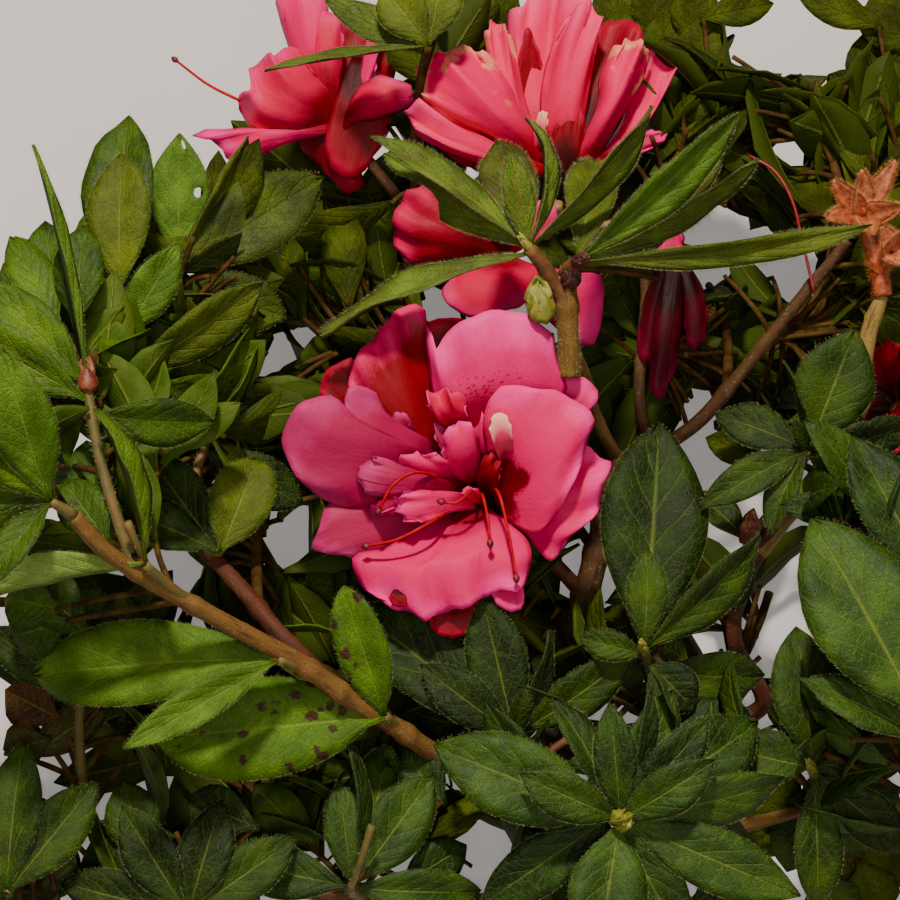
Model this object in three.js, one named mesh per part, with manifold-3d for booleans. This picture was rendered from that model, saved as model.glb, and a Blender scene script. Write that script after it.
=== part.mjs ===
// Cut flowering azalea bough, lying on level ground with its face turned up.
// Millimetres, +Z up. The bough's face is a plane that leans back from the ground:
// every place on the bough is given as [across, up, near], measured from the middle
// of that face, with near pointing out of it.
import * as THREE from "three";
import Module from "manifold-3d";

const wasm = await Module();
wasm.setup();

// How the bough lies
const FACE_TILT = THREE.MathUtils.degToRad(25);
const FACE_MIDDLE = [-8.2, -7.04, 80.06];
const CLEARANCE = 0.3;
const LIMB_SIDES = 6;

// Foliage
const LEAF_THICKNESS = 0.7;
const PETIOLE_WIDTH = 1.5;
const LEAF_FOLD = 14;
const LEAF_ARCH = 22;
const SHOOT_RADIUS = 1.25;
const STEM_FOOT_SWELL = 1.15;
const STEM_TAPER = 0.25;
const STEM_STEP = 26;
const STEM_BEND_AT = 0.45;
const STEM_LEAN = 0.12;
const BUD_PROFILE = [0.55, 1, 0.15];
const BUD_SINK = 0.25;
const GOLDEN_ANGLE = 137.5;
const GOLDEN_STRAY = 20;
const YOUNG_SPLAY = 30;
const OLD_SPLAY = 88;
const SPLAY_STRAY = 8;
const LEAF_ROLL = 25;
const LEAF_LENGTHS = [26, 42];
const LEAF_SLENDERNESS = 0.4;
const OLD_LEAF_DROP = 0.4;
const DEEPEST_PRESS = 9;
const PRESSED_RIM = 0.2 * LEAF_THICKNESS;

// Flowers
const PETAL_THICKNESS = 1.1;
const PETAL_FOOT = 2.4;
const LARGE_PETAL = 30;
const THROAT_RADIUS = 3.4;
const THROAT_LENGTH = 5;
const THROAT_RING = 1.6;
const PEDICEL_RADIUS = 1.1;
const PEDICEL_BEND = 8;
const BLOOM_VIEW = 0.8;
const SPENT_STALK_RADIUS = 1.5;
const LOBE_THICKNESS = 0.8;
const LOBE_FOOT = 1.8;
const LOBE_FOLD = 10;
const LOBE_ARCH = 20;
const FORK_AT = 0.3;

// Half outlines, as [share of the length, share of the width]
const LEAF_OUTLINE = [[0.42, 0.84], [0.72, 0.9]];
const PLAIN_OUTLINE = [[0.56, 1]];
const PETAL_OUTLINE = [[0.34, 0.42], [0.66, 0.98], [0.9, 0.76]];
const PETALOID_OUTLINE = [[0.5, 0.72], [0.86, 0.94]];

// Limbs: the limb and the fraction along it that bears the foot, places along the centre
// line, the radius at foot and tip, and the stub that a limb runs into
const LIMBS = {
  main_limb: {
    through: [[32, -124, -24.8], [28.8, -103, -32.3], [25.5, -81, -37], [26.3, -59, -42],
      [32, -35, -45], [36.6, -16.5, -45], [39.3, 0, -40]],
    radii: [5.2, 2.4],
  },
  left_limb: {
    from: ["main_limb", 0.33],
    through: [[9, -76, -25], [-2, -68, -12], [-12, -60, -3], [-21.5, -53, 4], [-31.5, -45, 10],
      [-47.5, -35, 20], [-62.5, -25, 30], [-69.5, -19, 36], [-74, -13, 40]],
    radii: [2.9, 1.8],
  },
  red_limb: {
    from: ["left_limb", 0.5],
    through: [[-34, -41.5, 6], [-43, -32, 1], [-51, -24, -4], [-57.5, -18, -8], [-66, -9, -12]],
    radii: [2.1, 1.5],
  },
  right_limb: {
    from: ["main_limb", 0.48],
    through: [[44, -66, -36], [60, -64, -31], [71, -58, -25], [68.5, -51, -22], [64.6, -45, -20],
      [63.7, -38, -18], [66, -29, -17], [71, -18, -15], [75.5, -8, -12]],
    radii: [2.4, 1.4],
  },
  low_right_limb: {
    from: ["main_limb", 0.24],
    through: [[47, -90, -22], [68, -81.5, -8], [85, -75, 4], [97, -76, 10]],
    radii: [2.2, 0.9],
  },
  low_left_limb: {
    from: ["main_limb", 0.16],
    through: [[0, -103.5, -28], [-27, -100, -22], [-54, -94, -18], [-80, -84, -14], [-94, -76, -10]],
    radii: [2.8, 1.4],
  },
  bloom_limb: {
    from: ["main_limb", 0.72],
    through: [[19, -21, -42], [8, -12, -36], [4.5, -8, -30]],
    radii: [1.8, 1.4],
  },
  top_left_limb: {
    from: ["main_limb", 0.86],
    through: [[26.3, 2.4, -52], [12, 26.5, -57], [-2.4, 48, -58], [-14, 63, -59], [-21, 72, -59]],
    radii: [2, 1.3],
  },
  upper_right_limb: {
    from: ["main_limb", 0.93],
    through: [[49.7, 0, -46], [58.7, 7, -42], [67.5, 17.5, -38], [80.5, 34.5, -32], [91, 48, -28]],
    radii: [1.9, 1.2],
  },
  back_limb: {
    from: ["upper_right_limb", 0.16],
    through: [[45.3, 12, -50], [46.2, 26, -52], [46.7, 41, -52], [42, 54, -48]],
    radii: [1.5, 1.2],
  },
  spent_limb: {
    from: ["right_limb", 0.84],
    through: [[84, -3, -17], [91, 9, -15], [91.5, 17.5, -13], [92.5, 26, -11], [95, 34, -9]],
    radii: [2.1, 1.9],
  },
  top_stub: {
    through: [[26.2, 16, -8], [25.8, 27, -6.5], [25, 38, -4]],
    radii: [2.3, 2.3],
  },
  top_limb: {
    from: ["main_limb", 0.985],
    through: [[33, 8.5, -28], [30.5, 16, -18], [28, 20.5, -11.5], [26, 22.5, -7.2]],
    radii: [1.5, 1.3],
    bears: "top_stub",
  },
};

// Blooms: the throat's place, the way the bloom faces as [clock, forward], the limb that
// bears it, and its petals as [clock, length, width, opening, arch, fold]
const BLOOMS = {
  bloom_front: {
    throat: [2.6, -4.7, -17], faces: [0, 90], from: ["bloom_limb", 1], colour: 0xd8487a, cupped: true,
    petals: [[-82, 47, 25, 26, 72, 6], [-20, 46, 25, 25, 66, 10], [22, 43, 29, 22, 66, -8],
      [71, 38, 28, 18, 60, 8], [120, 36, 24, 34, 70, 6], [-177, 44, 37, 24, 70, -8],
      [-119, 44, 23, 34, 74, 6], [48, 34, 14, 34, 62, 10],
      [-40, 18, 9, 12, 30, 14], [-95, 24, 8, 14, 44, 10], [-150, 20, 10, 12, 40, 12],
      [20, 19, 10, 8, 20, 18], [100, 18, 9, 10, 24, 14]],
  },
  bloom_top: {
    throat: [25, 58, -42], faces: [-4, 38], from: ["back_limb", 1], colour: 0xd9466a,
    petals: [[-62, 40, 22, 24, 60, 8], [-22, 46, 22, 20, 44, 8], [22, 46, 22, 20, 44, 8],
      [66, 44, 22, 24, 60, 8], [122, 30, 18, 26, 60, 6], [-124, 28, 18, 22, 60, 6],
      [0, 26, 10, 8, 20, 12]],
  },
  bloom_left: {
    throat: [-26, 78, -59], faces: [-20, 48], from: ["top_left_limb", 1], colour: 0xcf3f5f,
    petals: [[-100, 40, 22, 28, 66, 8], [-38, 38, 20, 22, 50, 8], [15, 36, 20, 20, 46, 8],
      [96, 34, 20, 24, 56, 8], [150, 32, 18, 26, 60, 6], [-155, 32, 20, 24, 60, 6]],
  },
  bloom_behind: {
    throat: [11, 42, -47], faces: [-70, 52], from: ["top_left_limb", 0.5], colour: 0xc92f3c,
    petals: [[-90, 36, 20, 28, 60, 8], [-22, 28, 18, 26, 56, 8], [56, 22, 16, 26, 56, 8],
      [118, 28, 18, 26, 56, 8], [-164, 34, 20, 26, 50, 8]],
  },
  bloom_right: {
    throat: [103, 10, -34], faces: [-60, 40], from: ["spent_limb", 0.4], colour: 0xcc3350,
    petals: [[-80, 27, 17, 26, 60, 8], [-8, 27, 17, 26, 60, 8], [64, 27, 17, 26, 60, 8],
      [136, 27, 17, 26, 60, 8], [-152, 27, 17, 26, 60, 8]],
  },
  bloom_faded: {
    throat: [54, 42, -47], faces: [176, 12], from: ["back_limb", 0.8], colour: 0x6d1226,
    petals: [[-90, 30, 12, 8, 16, 14], [30, 30, 12, 8, 16, 14], [150, 28, 12, 8, 16, 14]],
  },
};

// Leafy shoots: the limb and the fraction along it that bears the stem, the stem's tip,
// the leaves turned by hand as [along, clock, forward, length, width, turn], and how many
// more the whorl rule adds, none of them leaning nearer than the lean given
const SHOOTS = {
  left_front: {
    from: ["left_limb", 1], tip: [-78, -10, 43], more: [3, -0.1], seed: 11,
    leaves: [[1, -13, 35, 33, 13, 0], [1, -37, 30, 26, 12, 10], [0.95, -140, 40, 22, 8, 20],
      [0.75, -24, 5, 36, 14, 0], [0.9, -75, 15, 33, 13, 10], [0.85, -105, 0, 34, 14, 0]],
  },
  left_middle: {
    from: ["left_limb", 0.87], tip: [-73.5, 13, 27], more: [2, -0.1], seed: 12, bud: [3, 8],
    leaves: [[1, -10, 2, 50, 13, 78], [1, -42, 10, 30, 11, 10], [0.92, -60, 10, 33, 12, 0],
      [0.85, 98, -10, 26, 11, 20]],
  },
  limb_outer: {
    from: ["left_limb", 0.77], tip: [-61, -23, 33], more: [0, 0], seed: 13,
    leaves: [[1, -96, 4, 40, 13, 130], [1, -8, 8, 33, 11, 80]],
  },
  limb_middle: {
    from: ["left_limb", 0.56], tip: [-36, -44, 14], more: [0, 0], seed: 14,
    leaves: [[1, -92, -3, 52, 19, 0], [1, -128, 24, 37, 13, 35]],
  },
  limb_fork: {
    from: ["left_limb", 0.36], tip: [-14, -57, 2], more: [0, 0], seed: 15,
    leaves: [[1, -94, 5, 48, 20, 0], [0.6, -74, -12, 32, 14, 36], [1, -17, 18, 30, 11.5, 0]],
  },
  left_under: {
    from: ["low_left_limb", 0.86], tip: [-80, -53, -3], more: [6, -0.1], seed: 16,
    leaves: [[1, 5, -14, 26, 15, 20], [1, -56, 4, 26, 10, 0], [0.9, 40, -16, 24, 11, 10]],
  },
  centre: {
    from: ["main_limb", 0.46], tip: [14, -62, -3], more: [3, -0.3], seed: 17, bud: [1.6, 5],
    leaves: [[0.97, -51, -4, 46, 18, 12], [1, -53, 14, 26, 11, 0], [1, -13, 4, 31, 13.5, 0],
      [1, 11, 40, 13, 5, 0], [0.95, 26, 4, 24, 10, 58], [0.92, 57, 12, 31, 11, 10]],
  },
  centre_right: {
    from: ["right_limb", 0.18], tip: [41.7, -43, 0], more: [3, -0.3], seed: 18, bud: [1.6, 5],
    leaves: [[1, 5, -2, 51, 24, 0], [1, 3, 13, 22, 9, 0], [1, 51, 4, 36, 12, 24],
      [0.95, -76, 12, 15, 7, 0], [0.75, 95, -6, 27, 13, 14],
      [0.6, 114, 8, 26, 12, 0], [0.88, 136, 22, 15, 11, 0]],
  },
  bottom_front: {
    from: ["main_limb", 0.28], tip: [33.8, -73.5, 35], more: [3, -0.3], seed: 19, bud: [3.4, 9],
    leaves: [[0.97, -69, 8, 40, 17, 0], [1, -64, 22, 23, 10, 0], [0.9, -17, 0, 27, 9, 40],
      [1, -5, 22, 24, 9, 0], [0.96, 27, 8, 28, 9, 56], [0.86, 33, -8, 30, 12, 10],
      [1, 41, 12, 27, 10, 0], [1, 56, 26, 23, 10, 0], [0.93, 60, -3, 37, 17, 0],
      [0.96, 82, 6, 36, 12, 16], [0.96, 113, 10, 40, 13, 0], [1, -168, 28, 28, 16, 0],
      [0.95, 152, 14, 30, 13, 0], [0.92, -123, 6, 34, 12, 10]],
  },
  top_left: {
    from: ["top_stub", 0.7], tip: [17, 43.5, 1], more: [0, 0], seed: 20, bud: [1.4, 5],
    leaves: [[1, -49, 5, 42, 12, 46], [0.96, -56, -7, 40, 13, -6], [0.9, -103, 3, 50, 12, 48],
      [1, -12, 12, 21, 7, 0], [1, -16, -12, 29, 13, 0], [1, 16, 2, 30, 8, 66],
      [1, 46, 8, 40, 10, 58]],
  },
  top_right: {
    from: ["top_stub", 1], tip: [27.5, 40.5, 3], more: [0, 0], seed: 21, bud: [2.4, 6],
    leaves: [[1, 12, -34, 40, 12, 0], [1, 50, 11, 46, 15, 34], [0.95, 67, -2, 47, 11, 44],
      [0.8, 55, -16, 46, 13, 12], [0.9, 83, 9, 62, 12, 46], [0.7, 77, -12, 25, 9, 58]],
  },
  right: {
    from: ["right_limb", 1], tip: [77.5, 0, -3], more: [3, -0.2], seed: 22,
    leaves: [[1, 21, 8, 28, 17.5, 0], [1, -64, -5, 22, 10, 16], [1, -30, 44, 9, 4, 0],
      [1, -112, 20, 27, 9, 20], [1, -142, 24, 21, 8, 44], [0.6, 121, 0, 32, 12, 14],
      [1, -9, 18, 21, 9, 80], [0.9, 80, 8, 25, 11, 34]],
  },
  bud_spur: {
    from: ["right_limb", 0.74], tip: [65.5, -19, -9], more: [0, 0], seed: 23, bud: [3.4, 9],
    leaves: [[0.9, -40, -6, 17, 9, 30], [0.9, -165, -4, 16, 8, 30]],
  },
  right_front: {
    from: ["low_right_limb", 0.97], tip: [93, -54, 42], more: [3, 0], seed: 24,
    leaves: [[1, -27, 0, 47, 24, 0], [0.85, -60, 8, 28, 10, 30], [1, 30, -4, 36, 17, 0],
      [0.9, 85, 0, 32, 14, 0], [0.8, 130, 0, 30, 13, 0]],
  },
  right_side: {
    from: ["spent_limb", 0.2], tip: [99, -30, 34], more: [4, 0.1], seed: 25,
    leaves: [[1, -72, 6, 28, 9, 28], [1, 4, 0, 34, 16, 0], [0.9, 60, -10, 28, 12, 0],
      [0.9, -26, -8, 35, 15, 0], [0.9, 112, 0, 28, 13, 0]],
  },
  right_low: {
    from: ["low_right_limb", 0.74], tip: [75, -66, 17], more: [4, -0.1], seed: 26, bud: [1.6, 5],
    leaves: [[1, -4, 4, 30, 15, 0], [1, -76, 6, 17, 12, 8], [1, 80, 6, 24, 10, 0],
      [0.85, 178, 6, 29, 11, 0], [0.85, 128, 6, 27, 11, 0], [0.95, 44, -8, 28, 12, 0]],
  },
  low_middle: {
    from: ["low_left_limb", 0.38], tip: [-21, -94, 0], more: [6, 0], seed: 27,
    leaves: [[1, -8, 4, 23, 9, 0], [1, 15, 6, 32, 10, 76], [0.95, 37, -7, 30, 14, 0],
      [0.9, 18, -16, 36, 14, 10], [0.9, -78, 0, 30, 12, 10], [0.9, 95, 0, 30, 12, 0]],
  },
  low_left: {
    from: ["low_left_limb", 0.66], tip: [-56, -99, 4], more: [7, 0.1], seed: 28,
    leaves: [[1, 16, 5, 25, 12, 0], [1, -32, 4, 27, 12, 0], [1, 56, 0, 28, 12, 0],
      [1, -78, 0, 29, 12, 0]],
  },
  low_corner: {
    from: ["low_left_limb", 0.9], tip: [-94, -94, 8], more: [7, 0.2], seed: 29,
    leaves: [[1, 4, 0, 33, 13, 0], [1, -38, 0, 30, 13, 0], [1, 38, -4, 30, 13, 0],
      [1, -88, 0, 26, 12, 0]],
  },
  left_edge: {
    from: ["low_left_limb", 1], tip: [-94, -68, -9], more: [4, 0], seed: 30,
    leaves: [[1, 60, 2, 24, 10, 26], [1, 8, 4, 16, 6, 40]],
  },
  red_spur: {
    from: ["red_limb", 0.68], tip: [-49.5, -22, 1], more: [0, 0], seed: 31,
    leaves: [[1, 22, -4, 23, 14, 8], [1, -38, -4, 28, 14, 0], [1, -63, 10, 29, 12, 28]],
  },
  upper_left: {
    from: ["red_limb", 1], tip: [-70.5, 33, 5], more: [3, -0.2], seed: 32,
    leaves: [[1, 3, 6, 32, 14, 0], [1, 5, -8, 41, 17, -10], [0.78, 34, 18, 24, 10, 10],
      [0.74, -13, 6, 27, 11, 0], [0.74, -16, 22, 21, 8, 0], [0.8, -41, 0, 34, 11, 34],
      [0.68, -52, 6, 32, 11, 18], [0.6, 62, 2, 36, 13, 44]],
  },
  back_left: {
    from: ["red_limb", 0.93], tip: [-61, 42, -19], more: [4, -0.2], seed: 33,
    leaves: [[1, 1, 0, 30, 13, 0], [1, 35, 0, 33, 12, 52], [0.95, 54, -8, 42, 18, 0],
      [0.9, 104, -5, 27, 14, 0], [0.95, 65, 12, 18, 9, 66]],
  },
  middle_left: {
    from: ["red_limb", 0.8], tip: [-54, 2, -15], more: [4, -0.2], seed: 34,
    leaves: [[1, 62, -5, 19, 9, 16], [1, -58, -16, 27, 13, 16], [1, 12, -6, 27, 12, 0],
      [0.9, 120, -6, 26, 12, 0]],
  },
  top_leaf: {
    from: ["top_left_limb", 0.8], tip: [-5, 92, -26], more: [3, -0.1], seed: 35,
    leaves: [[1, -94, 12, 40, 11, 46], [1, -36, 12, 18, 12, 0], [1, 12, 10, 19, 12, 0],
      [0.95, -52, -6, 34, 11, 14]],
  },
  back_top: {
    from: ["back_limb", 0.92], tip: [63, 66, -52], more: [10, 0.2], seed: 36, leaves: [],
  },
  back_corner: {
    from: ["upper_right_limb", 1], tip: [84, 82, -42], more: [9, 0.4], seed: 37, leaves: [],
  },
  right_corner: {
    from: ["upper_right_limb", 0.84], tip: [108, 64, -36], more: [10, 0.3], seed: 38, leaves: [],
  },
  back_right: {
    from: ["upper_right_limb", 0.62], tip: [92, 32, -44], more: [10, 0.2], seed: 39, leaves: [],
  },
  back_middle: {
    from: ["back_limb", 0.4], tip: [61, 26, -58], more: [11, 0.2], seed: 40, leaves: [],
  },
  behind_bloom: {
    from: ["top_left_limb", 0.42], tip: [-26, 24, -47], more: [11, 0.1], seed: 41, leaves: [],
  },
  behind_left: {
    from: ["red_limb", 0.4], tip: [-41, -6, -34], more: [11, 0.1], seed: 42, leaves: [],
  },
  behind_centre: {
    from: ["main_limb", 0.52], tip: [0, -41, -38], more: [11, 0.1], seed: 43, leaves: [],
  },
  under_left: {
    from: ["low_left_limb", 0.5], tip: [-54, -48, -42], more: [8, 0.3], seed: 44, leaves: [],
  },
  under_right: {
    from: ["right_limb", 0.3], tip: [76, -34, -48], more: [8, 0.3], seed: 45, leaves: [],
  },
  under_top_left: {
    from: ["top_left_limb", 0.6], tip: [-34, 50, -82], more: [8, 0.3], seed: 46, leaves: [],
  },
  under_top_right: {
    from: ["upper_right_limb", 0.45], tip: [66, 42, -84], more: [8, 0.3], seed: 47, leaves: [],
  },
  under_middle: {
    from: ["main_limb", 0.8], tip: [14, -4, -72], more: [8, 0.3], seed: 48, leaves: [],
  },
};

// The spent flower's calyx lobes, on two short forks of its stalk, in the shoots' form
const SPENT_FLOWERS = {
  spent_flower: {
    from: ["spent_limb", 1], tip: [90, 51.5, -7], lobe: 3.2, cup: [96, 43, -5],
    star: [[-52, 20, 9], [12, 24, 9], [-118, 20, 8], [92, 20, 8], [38, 0, 15]],
    crown: [[-30, 10, 9], [20, 20, 8], [70, 10, 9]],
  },
};

const GREENS = [0x2f5a26, 0x3b6a2c, 0x4a7a33, 0x35602f, 0x567f3a];
const BARK = 0x9a6a3c;
const RED_BARK = 0x7a3b28;
const SPENT = 0xc4683c;

const DICE_SPREAD = 7919;
const DICE_FACTOR = 16807;
const DICE_RANGE = 2147483647;

const ACROSS = new THREE.Vector3(1, 0, 0);
const UP = new THREE.Vector3(0, Math.cos(FACE_TILT), Math.sin(FACE_TILT));
const NEAR = new THREE.Vector3(0, -Math.sin(FACE_TILT), Math.cos(FACE_TILT));

function radians(angle) {
  return THREE.MathUtils.degToRad(angle);
}

// A place on the face, as a point above the ground
function spot([across, up, near]) {
  return new THREE.Vector3(...FACE_MIDDLE)
    .addScaledVector(ACROSS, across).addScaledVector(UP, up).addScaledVector(NEAR, near);
}

// A direction read like a clock's hand on the face, in degrees, leaning forward out of it
function heading(clock, forward) {
  const flat = Math.cos(radians(forward));
  return new THREE.Vector3()
    .addScaledVector(ACROSS, flat * Math.sin(radians(clock)))
    .addScaledVector(UP, flat * Math.cos(radians(clock)))
    .addScaledVector(NEAR, Math.sin(radians(forward)));
}

// The part of a direction that is square to an axis, turned about that axis
function squareTo(axis, direction, turn = 0) {
  return direction.clone().addScaledVector(axis, -direction.dot(axis)).normalize()
    .applyAxisAngle(axis, radians(turn));
}

function seededDice(seed) {
  let state = seed * DICE_SPREAD;
  return (low, high) => {
    state = (state * DICE_FACTOR) % DICE_RANGE;
    return low + (high - low) * state / DICE_RANGE;
  };
}

// A closed solid through rings of points, with a flat start and a flat or pointed end
function loft(rings, point) {
  const points = rings.flat();
  const count = rings[0].length;
  const triangles = [];
  for (let ring = 0; ring + 1 < rings.length; ring++) {
    for (let i = 0; i < count; i++) {
      const a = ring * count + i;
      const b = ring * count + (i + 1) % count;
      triangles.push(a, b, b + count, a, b + count, a + count);
    }
  }
  const cap = (ring, centre, outward) => {
    points.push(centre);
    for (let i = 0; i < count; i++) {
      const a = ring * count + i;
      const b = ring * count + (i + 1) % count;
      triangles.push(points.length - 1, outward ? a : b, outward ? b : a);
    }
  };
  cap(0, middleOf(rings[0]), false);
  cap(rings.length - 1, point ?? middleOf(rings.at(-1)), true);
  return solidOf(points, triangles);
}

function middleOf(ring) {
  return ring.reduce((sum, p) => sum.add(p), new THREE.Vector3()).divideScalar(ring.length);
}

function solidOf(points, triangles) {
  const geometry = new THREE.BufferGeometry().setFromPoints(points);
  return new wasm.Manifold(new wasm.Mesh({
    numProp: 3,
    vertProperties: geometry.attributes.position.array,
    triVerts: new Uint32Array(triangles),
  }));
}

// A round tapering tube along a curve, whose ends can reach past the curve's
function tube(curve, steps, sides, radiusAt, past = 0) {
  const frames = curve.computeFrenetFrames(steps, false);
  const rings = [];
  for (let step = 0; step <= steps; step++) {
    const along = step / steps;
    const beyond = past * (Math.floor(along) - Math.floor(1 - along));
    const middle = curve.getPointAt(along).addScaledVector(curve.getTangentAt(along), beyond);
    const ring = [];
    for (let i = 0; i < sides; i++) {
      const angle = i / sides * 2 * Math.PI;
      ring.push(middle.clone()
        .addScaledVector(frames.normals[step], radiusAt(along) * Math.cos(angle))
        .addScaledVector(frames.binormals[step], radiusAt(along) * Math.sin(angle)));
    }
    rings.push(ring);
  }
  return loft(rings);
}

// A folded blade that arches away from its face: a leaf, a petal or a calyx lobe
function blade({ base, axis, face, length, width, outline, fold, arch, thickness, foot, spread }) {
  const side = new THREE.Vector3().crossVectors(axis, face);
  const bend = radians(arch) || 1e-6;
  const place = (along) => base.clone()
    .addScaledVector(axis, length * Math.sin(bend * along) / bend)
    .addScaledVector(face, -length * (1 - Math.cos(bend * along)) / bend);
  const faceAt = (along) => face.clone().multiplyScalar(Math.cos(bend * along))
    .addScaledVector(axis, Math.sin(bend * along));
  const ringAt = (along, half, depth) => {
    const middle = place(along);
    const out = faceAt(along);
    const rim = (sign) => middle.clone()
      .addScaledVector(side, sign * half * Math.cos(radians(fold)))
      .addScaledVector(out, half * Math.sin(radians(fold)));
    const inner = (sign, lift) => middle.clone()
      .addScaledVector(side, sign * spread * half)
      .addScaledVector(out, lift * depth / 2 + spread * half * Math.sin(radians(fold)) * spread);
    const signs = spread ? [-1, 1] : [0];
    return [rim(-1), ...signs.map((s) => inner(s, 1)), rim(1), ...signs.reverse().map((s) => inner(s, -1))];
  };
  const rings = [ringAt(0, foot / 2, foot)];
  for (const [along, share] of outline) rings.push(ringAt(along, share * width / 2, thickness));
  return { rings, tip: place(1) };
}

// Leaves that reach the ground lie pressed flat on it, and one that would go deeper is left out
function pressedToGround({ rings, tip }) {
  const lowest = Math.min(tip.z, ...rings.flat().map((p) => p.z));
  if (lowest >= 0) return { rings, tip };
  if (lowest < -DEEPEST_PRESS) return null;
  for (const [leftRim, upper, rightRim, lower] of rings) {
    const faceUp = upper.z > lower.z;
    leftRim.z = Math.max(leftRim.z, PRESSED_RIM);
    rightRim.z = Math.max(rightRim.z, PRESSED_RIM);
    upper.z = Math.max(upper.z, faceUp ? LEAF_THICKNESS : 0);
    lower.z = Math.max(lower.z, faceUp ? 0 : LEAF_THICKNESS);
  }
  tip.z = Math.max(tip.z, PRESSED_RIM);
  return { rings, tip };
}

function leafBlade(leaf, growth = 0) {
  return blade({
    ...leaf, length: leaf.length + growth, width: leaf.width + 2 * growth, fold: LEAF_FOLD,
    arch: LEAF_ARCH, thickness: LEAF_THICKNESS + 2 * growth, foot: PETIOLE_WIDTH + growth, spread: 0,
  });
}

function shareBox(a, b) {
  const boxA = a.boundingBox();
  const boxB = b.boundingBox();
  return [0, 1, 2].every((i) => boxA.min[i] <= boxB.max[i] && boxB.min[i] <= boxA.max[i]);
}

// Every solid made so far, by node name
const solids = {};
const colours = {};
const curves = {};

function touchesAnother(solid, own, limb) {
  return Object.entries(solids).some(([name, other]) =>
    name !== own && name !== limb && shareBox(solid, other) && !solid.intersect(other).isEmpty());
}

// Keeps the one outer skin: loose scraps go, and sealed hollows are filled
function wholeOf(solid) {
  return solid.decompose().reduce((best, part) => (part.volume() > best.volume() ? part : best));
}

function limbRadius(name, growth) {
  const [foot, tip] = LIMBS[name].radii;
  return (along) => foot + (tip - foot) * along + growth;
}

function limbTube(name, growth = 0) {
  const steps = LIMBS[name].through.length + 1;
  return tube(curves[name], steps, LIMB_SIDES, limbRadius(name, growth), growth);
}

function makeLimb(name) {
  const { from, through, bears } = LIMBS[name];
  const places = through.map(spot);
  if (from) places.unshift(curves[from[0]].getPointAt(from[1]));
  curves[name] = new THREE.CatmullRomCurve3(places, false, "centripetal");
  let solid = limbTube(name);
  if (from) solid = solid.subtract(limbTube(from[0], CLEARANCE));
  if (bears) solid = solid.subtract(limbTube(bears, CLEARANCE));
  solids[name] = wholeOf(solid);
  colours[name] = name === "red_limb" ? RED_BARK : BARK;
}

// A stem from a limb to the shoot's tip, leaving the limb along its own lie
function stemCurve(from, tip) {
  const [limb, along] = from;
  const foot = curves[limb].getPointAt(along);
  const end = spot(tip);
  const lie = curves[limb].getTangentAt(along);
  const reach = foot.distanceTo(end);
  const bend = foot.clone().lerp(end, STEM_BEND_AT).addScaledVector(lie, reach * STEM_LEAN);
  return new THREE.QuadraticBezierCurve3(foot, bend, end);
}

function stemTube(curve, from, radius) {
  const length = curve.getLength();
  const steps = Math.max(1, Math.round(length / STEM_STEP));
  const stem = tube(curve, steps, 4, (along) => radius * (STEM_FOOT_SWELL - STEM_TAPER * along));
  return stem.subtract(limbTube(from[0], CLEARANCE));
}

function budAt(place, axis, radius, length) {
  const foot = place.clone().addScaledVector(axis, -BUD_SINK * length);
  const curve = new THREE.LineCurve3(foot, place.clone().addScaledVector(axis, length));
  return tube(curve, 2, 5, (along) => radius * BUD_PROFILE[Math.round(along * 2)]);
}

// Leaves by rule: the golden angle round the tip, opening wider with age
function whorl(name) {
  const { more: [count, lean], seed } = SHOOTS[name];
  const curve = curves[name];
  const axis = curve.getTangentAt(1);
  const start = squareTo(axis, NEAR);
  const roll = seededDice(seed);
  const leaves = [];
  for (let i = 0; i < count; i++) {
    const age = (i + 0.5) / count;
    const out = start.clone()
      .applyAxisAngle(axis, radians(GOLDEN_ANGLE * i + roll(-GOLDEN_STRAY, GOLDEN_STRAY)));
    const stray = roll(-SPLAY_STRAY, SPLAY_STRAY);
    const splay = radians(YOUNG_SPLAY + (OLD_SPLAY - YOUNG_SPLAY) * age + stray);
    const direction = axis.clone().multiplyScalar(Math.cos(splay)).addScaledVector(out, Math.sin(splay));
    const length = roll(...LEAF_LENGTHS);
    const turn = roll(-LEAF_ROLL, LEAF_ROLL);
    leaves.push({
      base: curve.getPointAt(1 - OLD_LEAF_DROP * age), axis: direction,
      face: squareTo(direction, axis, turn), length, width: LEAF_SLENDERNESS * length,
      outline: PLAIN_OUTLINE,
    });
  }
  return leaves.filter((leaf) => leaf.axis.dot(NEAR) <= lean && clearOfBlooms(leaf));
}

function handTurned(name) {
  return SHOOTS[name].leaves.map(([along, clock, forward, length, width, turn]) => {
    const axis = heading(clock, forward);
    return {
      base: curves[name].getPointAt(along), axis, face: squareTo(axis, NEAR, turn),
      length, width, outline: LEAF_OUTLINE,
    };
  });
}

// A leaf by rule leaves the view into every bloom open
function clearOfBlooms({ base, axis, length }) {
  const tip = base.clone().addScaledVector(axis, length);
  return Object.values(BLOOMS).every(({ throat, faces, petals }) => {
    const away = tip.clone().sub(spot(throat));
    const front = heading(...faces);
    const height = away.dot(front);
    return height < 0 || away.addScaledVector(front, -height).length() > petals[0][1] * BLOOM_VIEW;
  });
}

// Adds the leaves that keep to the shoot's own space, clear of every other solid
function addLeaves(name, leaves) {
  const limb = SHOOTS[name].from[0];
  const kept = [];
  for (const leaf of leaves) {
    const form = pressedToGround(leafBlade(leaf));
    const guard = pressedToGround(leafBlade(leaf, CLEARANCE));
    if (form && guard && !touchesAnother(loft(guard.rings, guard.tip), name, limb)) {
      kept.push(loft(form.rings, form.tip).subtract(limbTube(limb, CLEARANCE)));
    }
  }
  for (const solid of kept) solids[name] = solids[name].add(solid);
  solids[name] = wholeOf(solids[name]);
}

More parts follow.
